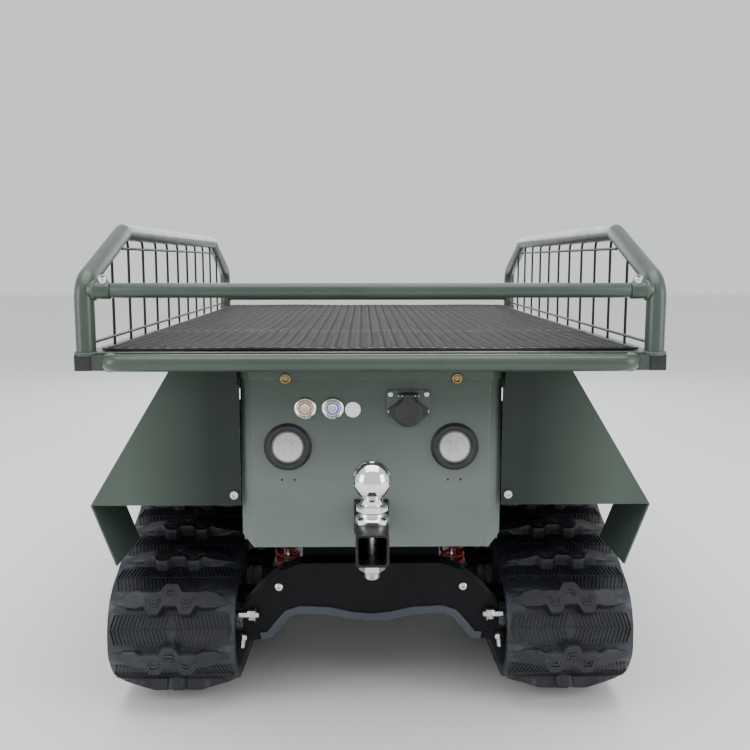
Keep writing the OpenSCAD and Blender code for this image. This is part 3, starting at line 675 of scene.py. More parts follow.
def rack_pieces(green, weld_green):
    """The bent side rails, the front bar, the rear bumper and gate bars, and the welds."""
    low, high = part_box("rack_rails")
    frame_low, frame_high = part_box("rack_frame")
    gate_low, gate_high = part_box("gate_bar")
    rail_x = high.x - RAIL_R
    rear, front = low.y + RAIL_R, high.y - RAIL_R
    deck, top = frame_high.z, high.z - RAIL_R
    bend_z = top - RAIL_DROP
    front_bar_z, bar_r = 0.553, 0.0095
    welds = Shape()
    rails = Shape()
    for side in SIDES.values():
        x = side * rail_x
        corners = [(x, rear, deck - 0.0005), (x, rear, bend_z), (x, rear + RAIL_RUN, top),
                   (x, front - RAIL_RUN, top), (x, front, bend_z), (x, front, deck - 0.0005)]
        rails.tube(bent_path(corners, 0.030), RAIL_R, 28)
        for y in (rear, front):
            weld(welds, (x, y, deck + 0.0012), UP, RAIL_R + 0.0006)
        weld(welds, (x - side * (RAIL_R - 0.001), front, front_bar_z), ACROSS, bar_r + 0.0005, 0.0018)
    rails.tube([(-rail_x, front, front_bar_z), (rail_x, front, front_bar_z)], bar_r, 24)
    rails.piece("side_rails", green, "green_paint", smooth=50, stands_for=("rack_rails",))

    bar = Shape()
    bar_low, bar_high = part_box("bumper_bar")
    bumper_r = (bar_high.z - bar_low.z) / 2
    half, y, z = bar_high.x - bumper_r, bar_low.y + bumper_r, (bar_low.z + bar_high.z) / 2
    seat = bar_high.y
    bar.tube(bent_path([(-half, seat, z), (-half, y, z), (half, y, z), (half, seat, z)], 0.017), bumper_r, 28)
    bar.piece("rear_bumper_bar", green, "green_paint", smooth=50, stands_for=("bumper_bar",))
    for side in (-1, 1):
        weld(welds, (side * half, seat - 0.001, z - 0.002), FORWARD, bumper_r * 0.86)

    stub = Shape()
    gate_z = (gate_low.z + gate_high.z) / 2
    stub_r = (gate_high.z - gate_low.z) / 2
    inner = rail_x - RAIL_R - 0.022
    stub.lathe([(bar_r - 0.0004, -inner), (bar_r, -inner + 0.0008),
                (bar_r, inner - 0.0008), (bar_r - 0.0004, inner)],
               (0, rear, gate_z), ACROSS, 28)
    for side in (-1, 1):
        stub.lathe([(stub_r - 0.001, 0), (stub_r, 0.001), (stub_r, 0.0275), (stub_r - 0.0005, 0.028)],
                   (side * (inner + 0.0005), rear, gate_z), ACROSS * side, 28)
        weld(welds, (side * (rail_x - RAIL_R - 0.0004), rear + 0.001, gate_z), ACROSS,
             stub_r + 0.0002, 0.0020)
    stub.piece("rear_gate_bar", green, "green_paint", smooth=50, stands_for=("gate_bar",))

    for x in (-1, 1):
        for y in (-0.230, 0.056, 0.340):
            corner = Vector((x * (frame_high.x - 0.020), y, frame_low.z))
            for shift in (-0.010, 0.010):
                welds.tube([corner + Vector((0, shift, 0.001)),
                            corner + Vector((-x * 0.002, shift, 0.004))], 0.002, 8)
        ends = frame_high.x - 0.0202
        for k in range(7):
            z = frame_low.z + 0.002 + k * 0.0028
            welds.lathe([(0.0006, -0.0017), (0.0019 + 0.0006 * random.random(), 0), (0.0006, 0.0017)],
                        (x * (ends + 0.0004 * random.random()), frame_low.y + 0.0108, z), FORWARD, 8)
    welds.piece("rack_welds", weld_green, "green_paint", smooth=60)


def guard_pieces(black):
    """Side guards: upright wires with bent tops, and two long wires."""
    low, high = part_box("rack_guards")
    rails_low, rails_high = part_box("rack_rails")
    wire, gap, wires = 0.002, 0.089, 11
    rear, front = rails_low.y + RAIL_R, rails_high.y - RAIL_R
    middle = (rear + front) / 2
    top = rails_high.z - RAIL_R
    bend_z = top - RAIL_DROP
    slope = RAIL_DROP / RAIL_RUN
    shape = Shape()
    x = high.x - wire
    for side in (-1, 1):
        for k in range(wires):
            y = middle + (k - (wires - 1) / 2) * gap
            rail_z = min(top, bend_z + slope * (y - rear), bend_z + slope * (front - y))
            lean = slope if rail_z < top - 0.001 else 0
            under = rail_z - RAIL_R * math.sqrt(1 + lean * lean) + 0.0008
            bend = [(0, under - 0.013), (0.0008, under - 0.008), (0.0030, under - 0.003), (0.0062, under)]
            shape.tube([(side * x, y, low.z)] + [(side * x, y - back, z) for back, z in bend], wire, 10)
        reach = (wires - 1) / 2 * gap - 0.044
        for z, half in ((top - 0.024, reach), (low.z + 0.014, (front - rear) / 2 - RAIL_R)):
            shape.tube([(side * (x - 0.003), middle + way * half, z) for way in (-1, 1)], wire, 10)
    shape.piece("side_guard_wires", black, "black_paint", smooth=60, stands_for=("rack_guards",))


def mat_pieces(rubber):
    """Two rubber mats with rows of raised lozenges, and edges that lift a little."""
    low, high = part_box("deck_mats")
    seam, sheet = -0.225, 0.0030
    lift_room = high.z - low.z - sheet - 0.0012
    rise = 0.0011

    def lift(x, y, ends):
        """How far the mat stands off the deck near its cut ends."""
        near = min(abs(y - end) for end in ends)
        wave = 0.5 + 0.5 * math.sin(x * 21 + 3 * ends[0]) * math.cos(x * 8.3 + 1.3)
        return lift_room * wave * math.exp(-near / 0.030)

    lozenge = ((0.5, 0.08), (0.12, 0.5), (-0.5, 0.08), (-0.5, -0.08), (-0.12, -0.5), (0.5, -0.08))
    stud_l, stud_w, pitch_x, pitch_y = 0.0125, 0.0052, 0.0165, 0.0085
    columns = 70
    for number, (start, end) in enumerate(((low.y, seam - 0.0012), (seam + 0.0012, high.y)), 1):
        ends = (start, end)
        sheet_shape, studs = Shape(), Shape()
        lines = max(4, round((end - start) / 0.012))
        loops = []
        for j in range(lines + 1):
            y = start + (end - start) * j / lines
            across = [low.x + (high.x - low.x) * i / columns for i in range(columns + 1)]
            loops.append([Vector((x, y, low.z + 0.0001 + lift(x, y, ends))) for x in across]
                         + [Vector((x, y, low.z + sheet + lift(x, y, ends))) for x in across[::-1]])
        sheet_shape.grid(loops, closed_columns=True, cap=True)
        sheet_shape.piece(f"deck_mat_{number}", rubber, "mat_rubber", smooth=40, stands_for=("deck_mats",))
        row = 0
        y = start + 0.008
        while y < end - 0.007:
            x = low.x + 0.010 + (pitch_x / 2 if row % 2 else 0)
            lean = 0.42 if row % 2 else -0.42
            cos, sin = math.cos(lean), math.sin(lean)
            turned = [(u * cos - v * sin, u * sin + v * cos)
                      for u, v in ((du * stud_l, dv * stud_w) for du, dv in lozenge)]
            while x < high.x - 0.009:
                z = low.z + sheet + lift(x, y, ends)
                first = len(studs.points)
                studs.grid([[Vector((x + u, y + v, z - 0.0003)) for u, v in turned],
                            [Vector((x + u * 0.80, y + v * 0.70, z + rise)) for u, v in turned]],
                           closed_columns=True)
                studs.faces.append([first + 6 + k for k in range(6)])
                x += pitch_x
            y += pitch_y
            row += 1
        studs.piece(f"deck_mat_{number}_studs", rubber, "mat_rubber")


# ---- Hitch ----

def rounded_box(half, bottom, top, corner, steps):
    """A rectangle's outline, half to each side of 0, with rounded corners."""
    points = []
    high, low = top - corner, bottom + corner
    for k, (sx, height) in enumerate(((1, high), (-1, high), (-1, low), (1, low))):
        for step in range(steps + 1):
            angle = math.pi / 2 * (k + step / steps)
            points.append((sx * (half - corner) + corner * math.cos(angle),
                           height + corner * math.sin(angle)))
    return points


def rounded_square(half, corner):
    return rounded_box(half, -half, half, corner, 5)


def square_tube(name, node, centre_z, wall, corner, material):
    """The node's square tube along Y, with rounded corners and softened ends."""
    low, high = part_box(node)
    half = (high.x - low.x) / 2
    outer = rounded_square(half, corner)
    inner = rounded_square(half - wall, max(0.001, corner - wall * 0.7))
    shape = Shape()
    edge = 0.0006
    inset = rounded_square(half - edge, corner)
    rows = []
    for y, loop in ((low.y, inset), (low.y + edge, outer), (high.y - edge, outer), (high.y, inset),
                    (high.y, inner), (low.y, inner)):
        rows.append([Vector((u, y, centre_z + w)) for u, w in loop])
    shape.grid(rows, closed_rows=True, closed_columns=True)
    shape.piece(name, material, "black_paint", smooth=40, stands_for=(node,))


def hitch_pieces(chrome, black, zinc):
    """The receiver, the ball mount, and the tow ball with its nut."""
    low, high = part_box("ball_mount")
    middle = (low.z + high.z) / 2
    square_tube("ball_mount_tube", "ball_mount", middle, 0.003, 0.0055, black)
    square_tube("receiver_tube", "hitch_receiver", middle, 0.0027, 0.0050, black)
    ball_low, ball_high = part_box("tow_ball")
    ball_r = (ball_high.x - ball_low.x) / 2
    y = (ball_low.y + ball_high.y) / 2
    centre = 0.377
    top = ball_high.z
    deck = high.z
    ball = Shape()
    neck = 0.0138
    cut = math.acos((top - centre) / ball_r)
    under = math.pi - math.asin((neck + 0.002) / ball_r)
    profile = [(0.0210, deck), (0.0213, deck + 0.0010), (0.0213, deck + 0.0060), (0.0200, deck + 0.0075),
               (0.0168, deck + 0.0095), (neck + 0.0015, deck + 0.0150), (neck, deck + 0.0210),
               (neck, centre - ball_r * 0.93), (neck + 0.0006, centre - ball_r * 0.88)]
    steps = 22
    for k in range(steps + 1):
        angle = under + (cut - under) * k / steps
        profile.append((ball_r * math.sin(angle), centre + ball_r * math.cos(angle)))
    profile += [(ball_r * math.sin(cut) - 0.0015, top), (0.0040, top), (0.0034, top - 0.0012)]
    ball.lathe(profile, (0, y, 0), UP, 64)
    ball.piece("tow_ball_body", chrome, "chrome", smooth=32, stands_for=("tow_ball",))

    flats = Shape()
    stem, upright = (0, y, 0), turn_to(UP)
    flats.grid([ring(stem, upright, radius, deck + up, 6) for radius, up in
                ((0.0186, 0.0135), (0.0196, 0.0145), (0.0196, 0.0225), (0.0170, 0.0240))],
               closed_columns=True, cap=True)
    flats.piece("tow_ball_flats", chrome, "chrome", bevel=0.0008, smooth=30)

    nut = Shape()
    washer_z = low.z
    washer = ((0.0098, 0), (0.0178, 0), (0.0180, 0.0004), (0.0180, 0.0026), (0.0176, 0.0030), (0.0098, 0.0030))
    nut.lathe([(r, washer_z - down) for r, down in washer], stem, UP, 48)
    nut_top, nut_low = washer_z - 0.0032, washer_z - 0.0215
    nut.grid([ring(stem, upright, radius, z, 6) for radius, z in
              ((0.0150, nut_top), (0.0168, nut_top - 0.0015), (0.0168, nut_low + 0.0015), (0.0150, nut_low))],
             closed_columns=True, cap=True)
    thread = []
    z = nut_low + 0.001
    while z > ball_low.z + 0.002:
        thread += [(0.0094, z), (0.0087, z - 0.0009)]
        z -= 0.0018
    nut.lathe(thread + [(0.0080, ball_low.z + 0.0006), (0.0070, ball_low.z)], stem, UP, 40)
    nut.lathe([(0.0094, nut_top), (0.0094, deck + 0.001)], stem, UP, 40)
    nut.piece("tow_ball_nut", zinc, "chrome", smooth=32)


# ---- Rear panel fittings ----

BACK = Vector((0, -1, 0))
SCREW_SIDES = 36


def facing_back(x, panel, z):
    """A function that puts (u, v, out) on the rear panel: u to the right, v up, out towards the back."""
    return lambda u, v, out: Vector((x + u, panel - out, z + v))


def lamp_pieces(ring_rubber, lens, reflector):
    """Each lamp's rubber ring, trim and domed lens."""
    low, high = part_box("lamp_rings")
    outer = (high.z - low.z) / 2
    z = (low.z + high.z) / 2
    front = low.y
    for side, sign in SIDES.items():
        x = sign * (high.x - outer)
        grommet = Shape()
        bore = 0.0212
        grommet.lathe([(bore + 0.0035, -0.0010), (bore + 0.0010, 0.0018), (bore + 0.0012, 0.0040),
                       (bore + 0.0030, 0.0058), (bore + 0.0055, 0.0052), (bore + 0.0072, 0.0056),
                       (outer - 0.0022, 0.0030), (outer - 0.0006, 0.0016), (outer, 0.0004),
                       (outer - 0.0003, 0.0)], (x, low.y + 0.0070, z), BACK, 72)
        grommet.lathe([(0.0268, -0.006), (0.0268, 0.0005)], (x, low.y + 0.007, z), BACK, 48)
        grommet.piece(f"lamp_ring_{side}", ring_rubber, "ring_rubber", smooth=35,
                      stands_for=("lamp_rings",) if side == "left" else ())
        trim = Shape()
        trim.lathe([(bore + 0.0008, 0.0005), (bore + 0.0008, 0.0036), (bore - 0.0004, 0.0042),
                    (bore - 0.0014, 0.0030)],
                   (x, front + 0.0070, z), BACK, 64)
        trim.piece(f"lamp_trim_{side}", reflector, "lamp_glass", smooth=40)
        glass = Shape()
        profile = []
        rings = 16
        for k in range(rings + 1):
            r = (bore - 0.0012) * (1 - k / rings) + 0.0004
            dome = 0.0026 * (1 - (r / bore) ** 2)
            rib = 0.00022 * (k % 2)
            profile.append((r, dome + rib))
        glass.lathe([(bore - 0.0012, -0.004)] + profile, (x, front + 0.0046, z), BACK, 72)
        for k in range(4):
            angle = math.tau * (k + 0.5) / 4
            spot = (x + 0.0062 * math.cos(angle), front + 0.0024, z + 0.0062 * math.sin(angle))
            glass.lathe([(0.0022, 0.0), (0.0016, 0.0009), (0.0004, 0.0012)], spot, BACK, 16)
        glass.piece(f"lamp_lens_{side}", lens, "lamp_glass", smooth=30,
                    stands_for=("lamp_lenses",) if side == "left" else ())


def button_pieces(metal, glows):
    """Each push button's bezel, cap, lit ring and lit symbol."""
    low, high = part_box("button_bezels")
    outer = (high.z - low.z) / 2
    z = (low.z + high.z) / 2
    for node, x in (("power_button", low.x + outer), ("drive_button", high.x - outer)):
        button_low, button_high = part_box(node)
        bore = (button_high.z - button_low.z) / 2
        bezel = Shape()
        bezel.lathe([(outer, 0.0), (outer, 0.0012), (outer - 0.0012, 0.0026), (outer - 0.0022, 0.0030),
                     (bore + 0.0014, 0.0022), (bore + 0.0003, 0.0014), (bore + 0.0002, -0.012)],
                    (x, low.y + 0.003, z), BACK, 64)
        bezel.piece(f"{node}_bezel", metal, "button_metal", smooth=35,
                    stands_for=("button_bezels",) if node == "power_button" else ())
        cap = Shape()
        face = low.y + 0.003
        ring_in, ring_out = bore * 0.66, bore * 0.84
        cap.lathe([(bore - 0.0001, -0.012), (bore - 0.0001, 0.0026), (bore - 0.0006, 0.0031),
                   (ring_out, 0.0033), (ring_out, 0.0026), (ring_in, 0.0026), (ring_in, 0.0033),
                   (0.0030, 0.0029), (0.0004, 0.0028)],
                  (x, face, z), BACK, 56)
        cap.piece(f"{node}_cap", metal, "button_metal", body=node, smooth=30, stands_for=(node,))
        light = Shape()
        light.lathe([(ring_out - 0.0001, 0.0025), (ring_out - 0.0001, 0.0031), (ring_in + 0.0001, 0.0031),
                     (ring_in + 0.0001, 0.0025)], (x, face, z), BACK, 56)
        light.piece(f"{node}_light_ring", glows[node], "button_metal", body=node, smooth=30)
        sign = Shape()
        arc = [(x + 0.0030 * math.sin(a), face - 0.0030, z - 0.0002 + 0.0030 * math.cos(a))
               for a in (math.radians(40 + 28 * k) for k in range(11))]
        sign.tube(arc, 0.00035, 6)
        sign.tube([(x, face - 0.0030, z + 0.0008), (x, face - 0.0030, z + 0.0038)], 0.00035, 6)
        sign.piece(f"{node}_symbol", glows[node], "button_metal", body=node, smooth=40)


def marker_piece(white):
    """The plain white disc beside the buttons."""
    low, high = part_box("marker_disc")
    radius = (high.x - low.x) / 2
    centre = (low + high) / 2
    disc = Shape()
    disc.lathe([(radius, 0), (radius, 0.0006), (radius - 0.0004, 0.0009), (radius * 0.5, 0.0010),
                (0.0004, 0.0010)],
               (centre.x, high.y, centre.z), BACK, 56)
    disc.piece("round_marker", white, "white_label", smooth=35, stands_for=("marker_disc",))


def screw_head(shape, centre, axis, radius, height):
    """A button-head screw with a hexagon recess."""
    turn = turn_to(axis)
    rows = [ring(centre, turn, radius * share, height * up, SCREW_SIDES)
            for share, up in ((1, 0), (1, 0.35), (0.86, 0.80), (0.62, 1))]
    rows += [key_ring(centre, turn, radius * 0.42, height * up, SCREW_SIDES) for up in (1, 0.25)]
    shape.grid(rows, closed_columns=True, cap=True)


def socket_pieces(plate_paint, plastic, zinc):
    """The charge socket's plate, housing, pins and sprung lid."""
    low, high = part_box("charge_socket")
    lid_low, lid_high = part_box("socket_lid")
    panel = low.y + 0.014
    x, z = (lid_low.x + lid_high.x) / 2, lid_low.z + (lid_high.x - lid_low.x) / 2
    spot = facing_back(x, panel, z)
    plate = Shape()
    bottom, top = -0.0075, 0.0295
    outline = rounded_box((high.x - low.x) / 2, bottom, top, 0.004, 4)
    plate.prism(outline, 0.0, 0.0026, spot, inset=0.0006)
    plate.piece("socket_plate", plate_paint, "green_paint", smooth=35, stands_for=("charge_socket",))

    body = Shape()
    wings = [(0.0085, 0.0265), (-0.0085, 0.0265), (-0.0105, 0.0150), (-0.0262, 0.0050), (-0.0266, -0.0025),
             (-0.0150, -0.0128), (0.0150, -0.0128), (0.0266, -0.0025), (0.0262, 0.0050), (0.0105, 0.0150)]
    body.prism(wings, 0.0024, 0.0058, spot, inset=0.0010)
    body.lathe([(0.0196, 0.0024), (0.0196, 0.0062), (0.0188, 0.0070), (0.0124, 0.0070), (0.0121, 0.0064),
                (0.0121, -0.0150), (0.0004, -0.0150)], (x, panel, z), BACK, 56)
    for ear_low, ear_high in ((x - 0.0128, x - 0.0092), (x + 0.0092, x + 0.0128)):
        body.box((ear_low, panel - 0.0138, z + 0.0190), (ear_high, panel - 0.001, z + 0.0258))
    body.piece("socket_housing", plastic, "black_plastic", bevel=0.0006, smooth=35)
    hinge_y, hinge_z = lid_low.y + 0.003, lid_high.z - 0.003
    pins = Shape()
    for angle in (90, 162, 234, 306, 18):
        a = math.radians(angle)
        pins.lathe([(0.0014, -0.0148), (0.0014, -0.0035), (0.0008, -0.0022), (0.0002, -0.0020)],
                   (x + 0.0068 * math.cos(a), panel, z + 0.0068 * math.sin(a)), BACK, 14)
    pins.lathe([(0.0014, -0.0139), (0.0014, 0.0139)], (x, hinge_y, hinge_z), ACROSS, 18)
    pins.piece("socket_pins", zinc, "zinc_steel", smooth=35)

    lid = Shape()
    radius = (lid_high.x - lid_low.x) / 2
    back, front = lid_high.y, lid_low.y + 0.003
    thick = back - front
    lid.lathe([(radius - 0.0004, 0.0), (radius, 0.0004), (radius, thick - 0.0010),
               (radius - 0.0009, thick - 0.0002), (radius - 0.0026, thick), (radius - 0.0032, thick - 0.0005),
               (0.0003, thick - 0.0003)], (x, back, z), BACK, 56)
    strap = 0.0079
    lid.box((x - strap, front, z + 0.0080), (x + strap, back - 0.0002, hinge_z - 0.0010))
    lid.lathe([(0.0016, -strap), (0.0026, -strap), (0.0030, -strap + 0.0004), (0.0030, strap - 0.0004),
               (0.0026, strap), (0.0016, strap)], (x, hinge_y, hinge_z), ACROSS, 28)
    for k in (-1, 0, 1):
        rib = x + k * 0.0045
        lid.box((rib - 0.0007, front - 0.0006, z + 0.0100), (rib + 0.0007, front + 0.0005, z + 0.0185))
    lid.piece("socket_lid_cover", plastic, "black_plastic", body="socket_lid", bevel=0.0005, smooth=35,
              stands_for=("socket_lid",))


def fastener_pieces(zinc, brass):
    """Screws, nuts and rivet nuts, each where its plain solid stands."""
    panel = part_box("rear_panel")[0].y
    insert_x, insert_z, flange, bore = 0.113, 0.491, 0.0070, 0.0034
    inserts = Shape()
    for x in (-insert_x, insert_x):
        inserts.lathe([(flange, 0.0030), (flange, 0.0042), (flange - 0.0008, 0.0050), (bore + 0.0014, 0.0050),
                       (bore, 0.0036), (bore + 0.0004, 0.0026), (bore, 0.0016), (bore + 0.0004, 0.0006),
                       (bore, -0.0004), (bore, -0.0130)], (x, panel, insert_z), BACK, 40)
    inserts.piece("rivet_nuts", brass, "zinc_steel", smooth=35, stands_for=("fasteners",))
    screws = Shape()
    socket_low, socket_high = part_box("charge_socket")
    x = (socket_low.x + socket_high.x) / 2
    z = 0.446
    for side in (-1, 1):
        for up in (0.0006, 0.0240):
            screw_head(screws, (x + side * 0.0237, panel - 0.0026, z + up), BACK, 0.0036, 0.0027)
    screws.piece("socket_screws", zinc, "zinc_steel", smooth=35)
    big = Shape()
    gate_low, gate_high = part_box("gate_bar")
    gate_y = (gate_low.y + gate_high.y) / 2
    gate_top = (gate_low.z + gate_high.z) / 2 + 0.0095
    lean = math.radians(18)
    tilt = Vector((0, -math.sin(lean), math.cos(lean)))
    for side in (-1, 1):
        cap_screw(big, Vector((side * 0.341, gate_y, gate_top)) - tilt * 0.0008, tilt, 0.0065, 0.0098)
    cover_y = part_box("cover_right")[0].y
    cover_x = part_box("rear_panel")[1].x + 0.009
    for side in (-1, 1):
        screw_head(big, (side * 0.132, -0.433, 0.181), BACK, 0.0064, 0.0048)
        cap_screw(big, Vector((side * cover_x, cover_y, 0.332)), BACK, 0.0056, 0.0052)
    big.piece("rack_and_hull_screws", zinc, "zinc_steel", smooth=32)
    tension = Shape()
    for side in (-1, 1):
        y = -0.441
        tension.lathe([(0.0030, 0.0), (0.0044, 0.0010), (0.0044, 0.0290), (0.0030, 0.0300)],
                      (side * 0.160, y, 0.142), ACROSS * side, 24)
        hex_nut(tension, (side * 0.167, y, 0.142), ACROSS * side, 0.0078, 0.0095)
        tension.lathe([(0.0096, 0.0), (0.0096, 0.0012)], (side * 0.1650, y, 0.142), ACROSS * side, 28)
        lock = Vector((side * 0.184, -0.439, 0.112))
        along = (Vector((side * 0.186, -0.439, 0.092)) - lock).normalized()
        tension.lathe([(0.0042, 0.0), (0.0042, 0.0190), (0.0034, 0.0200)], lock, along, 20)
        hex_nut(tension, lock + along * 0.001, along, 0.0068, 0.0065)
    tension.piece("tensioner_bolts", zinc, "zinc_steel", smooth=32)


def hex_nut(shape, centre, axis, radius, height):
    turn = turn_to(axis)
    shape.grid([ring(centre, turn, radius * share, height * up, 6)
                for share, up in ((0.90, 0), (1, 0.12), (1, 0.88), (0.90, 1))], closed_columns=True, cap=True)


def cap_screw(shape, centre, axis, radius, height):
    """A socket-head cap screw, with its hexagon recess."""
    turn = turn_to(axis)
    rows = [ring(centre, turn, radius * share, height * up, SCREW_SIDES)
            for share, up in ((0.97, 0), (1, 0.06), (1, 0.90), (0.93, 1))]
    rows += [key_ring(centre, turn, radius * 0.56, height * up, SCREW_SIDES) for up in (0.985, 0.40)]
    shape.grid(rows, closed_columns=True, cap=True)


# ---- Shock absorbers ----

SHOCK_X = 0.138
SHOCK_TOP = Vector((0, -0.235, 0.250))
SHOCK_LOW = Vector((0, -0.215, 0.128))
SHOCK_DOWN = (SHOCK_LOW - SHOCK_TOP).normalized()
SHOCK_EYE = [(0.0088, -0.0079), (0.0100, -0.0070), (0.0100, 0.0070), (0.0088, 0.0079)]


def shock_pieces(side, sign, black, red, white, zinc):
    """One coil-over shock absorber. Distances run down its axis from the top eye."""
    x = sign * SHOCK_X
    top = Vector((x, SHOCK_TOP.y, SHOCK_TOP.z))
    body = Shape()
    tube = [(0.0078, 0.004), (0.0078, 0.012), (0.0124, 0.0132), (0.0130, 0.0140), (0.0130, 0.0708),
            (0.0122, 0.0718), (0.0066, 0.0720)]
    perch = [(0.0210, 0.0160), (0.0219, 0.0168), (0.0219, 0.0202), (0.0205, 0.0210), (0.0128, 0.0210)]
    for profile in (tube, perch):
        body.lathe(profile, top, SHOCK_DOWN, 48)
    body.lathe(SHOCK_EYE, top, ACROSS, 40)
    body.piece(f"shock_tube_{side}", black, "black_paint", smooth=35, stands_for=(f"shock_body_{side}",))
    across = SHOCK_DOWN.cross(ACROSS).normalized()
    for name, material, turn in (("red", red, 0.0), ("white", white, math.pi)):
        band = Shape()
        rows = []
        for radius, at in ((0.0130, 0.0), (0.01325, 0.0004), (0.01325, 0.0276), (0.0130, 0.028)):
            centre = top + SHOCK_DOWN * (0.034 + at)
            rows.append([centre + radius * (math.cos(a) * across + math.sin(a) * ACROSS)
                         for a in (turn + math.pi * (k / 20) for k in range(21))])
        band.grid(rows)
        band.piece(f"shock_band_{name}_{side}", material, "black_paint", smooth=40)

    rod = Shape()
    length = (SHOCK_LOW - SHOCK_TOP).length
    rod.lathe([(0.0058, 0.047), (0.0060, 0.0475), (0.0060, length - 0.009)], top, SHOCK_DOWN, 32)
    rod.lathe([(0.0128, 0.1048), (0.0205, 0.1050), (0.0219, 0.1058), (0.0219, 0.1090), (0.0205, 0.1100),
               (0.0062, 0.1100)], top, SHOCK_DOWN, 48)
    low = Vector((x, SHOCK_LOW.y, SHOCK_LOW.z))
    rod.lathe(SHOCK_EYE, low, ACROSS, 40)
    rod.piece(f"shock_rod_steel_{side}", zinc, "rod_chrome", body=f"shock_rod_{side}", smooth=35,
              stands_for=(f"shock_rod_{side}",))

    start, end, turns, coil_r, wire = 0.0212, 0.1048, 6.5, 0.0185, 0.0026
    coil = []
    steps = round(turns * 30)
    for k in range(steps + 1):
        share = k / steps
        rise = min(1.0, max(0.0, (share * turns - 0.75) / (turns - 1.5)))
        angle = math.tau * turns * share
        at = start + wire + (end - start - 2 * wire) * rise
        coil.append(top + SHOCK_DOWN * at + coil_r * (math.cos(angle) * across + math.sin(angle) * ACROSS))
    spring = Shape()
    spring.tube(coil, wire * 0.86, 10)
    piece = spring.piece(f"shock_coil_{side}", red, "spring_red", smooth=60,
                         stands_for=(f"shock_spring_{side}",))
    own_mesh(piece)


# ---- Wheels ----

def wheel_pieces(node, rubber, paint, slot, tyre):
    """Two dished discs on one hub. tyre is the depth of the rubber rim, or 0 for a plain steel wheel."""
    low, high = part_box(node)
    centre = (low + high) / 2
    r = (high.z - low.z) / 2
    edge = (high.x - low.x) / 2
    half = 0.017
    hub = {"road": 0.022, "idler": 0.024, "return": 0.016}[node.split("_")[0]]
    rim = tyre or (0.006 if node.startswith("return") else 0.010)
    disc, tread = Shape(), Shape()
    bore = 0.0101
    for sign in (-1, 1):
        axis = ACROSS * sign
        outer = r - rim if tyre else r
        dish = [(outer - inward, edge - back) for inward, back in
                ((0, 0.0012), (0.0010, 0.0002), (0.0042, 0.0002), (0.0052, 0.0014), (0.0062, 0.0092),
                 (0.0085, 0.0105))]
        boss = [(hub + out, edge - back) for out, back in
                ((0.0040, 0.0105), (0.0012, 0.0095), (0, 0.0070), (0, 0.0008), (-0.0010, 0))]
        disc.lathe([(bore, half), (outer - 0.001, half), (outer, half + 0.001)] + dish + boss
                   + [(bore + 0.001, edge), (bore, edge - 0.001)], centre, axis, 72)
        for k in range(5):
            angle = math.tau * k / 5 + 0.3
            spot = (hub + outer - 0.006) / 2
            if outer - hub > 0.018:
                hex_nut(disc, centre + Vector((0, spot * math.cos(angle), spot * math.sin(angle)))
                        + axis * (edge - 0.0112), axis, 0.0042, 0.0036)
        if tyre:
            shoulder = [(0.0030, 0), (0.0008, 0.0010), (0, 0.0034)]
            tread.lathe([(outer - 0.0006, half + 0.0006)]
                        + [(r - down, half + back) for down, back in shoulder]
                        + [(r - down, edge - back) for down, back in shoulder[::-1]]
                        + [(outer - 0.0006, edge - 0.0006)], centre, axis, 96)
    disc.lathe([(bore, -half), (hub, -half), (hub, half), (bore, half)], centre, ACROSS, 48)
    disc.piece(f"{node}_disc", paint, slot, body=node, smooth=32, stands_for=(node,))
    if tyre:
        tread.piece(f"{node}_tyre", rubber, slot, body=node, smooth=40, stands_for=(node,))


# ---- Beam ----

def beam_lip(paint):
    """A folded strip along the lower edge of the rear beam."""
    arch = [(0, 0.129), (0.030, 0.132), (0.060, 0.139), (0.102, 0.141), (0.116, 0.136), (0.128, 0.122),
            (0.143, 0.104), (0.158, 0.1012)]
    line = [Vector((-x, 0, z)) for x, z in reversed(arch[1:])] + [Vector((x, 0, z)) for x, z in arch]
    back, width = -0.433, 0.0115
    edges = []
    for i, point in enumerate(line):
        along = (line[min(i + 1, len(line) - 1)] - line[max(i - 1, 0)]).normalized()
        edges.append((point, Vector((-along.z, 0, along.x))))
    rows = []
    for y, inset in ((back + 0.0005, 0.0), (back - 0.0022, 0.0), (back - 0.0028, 0.0010)):
        lower = [Vector((p.x, y, p.z)) + up * inset for p, up in edges]
        upper = [Vector((p.x, y, p.z)) + up * (width - inset) for p, up in edges]
        rows.append(lower + upper[::-1])
    strip = Shape()
    strip.grid(rows, closed_columns=True, cap=True)
    strip.piece("rear_beam_lip", paint, "black_paint", smooth=30)


# ---- CAD nodes that stay, with their edges softened ----

def dress(names, material, edge):
    """Give CAD nodes their material and edges rounded to edge."""
    for name in names:
        obj = NODES[name]
        obj.data.materials.clear()
        obj.data.materials.append(material)
        round_edges(obj, edge)


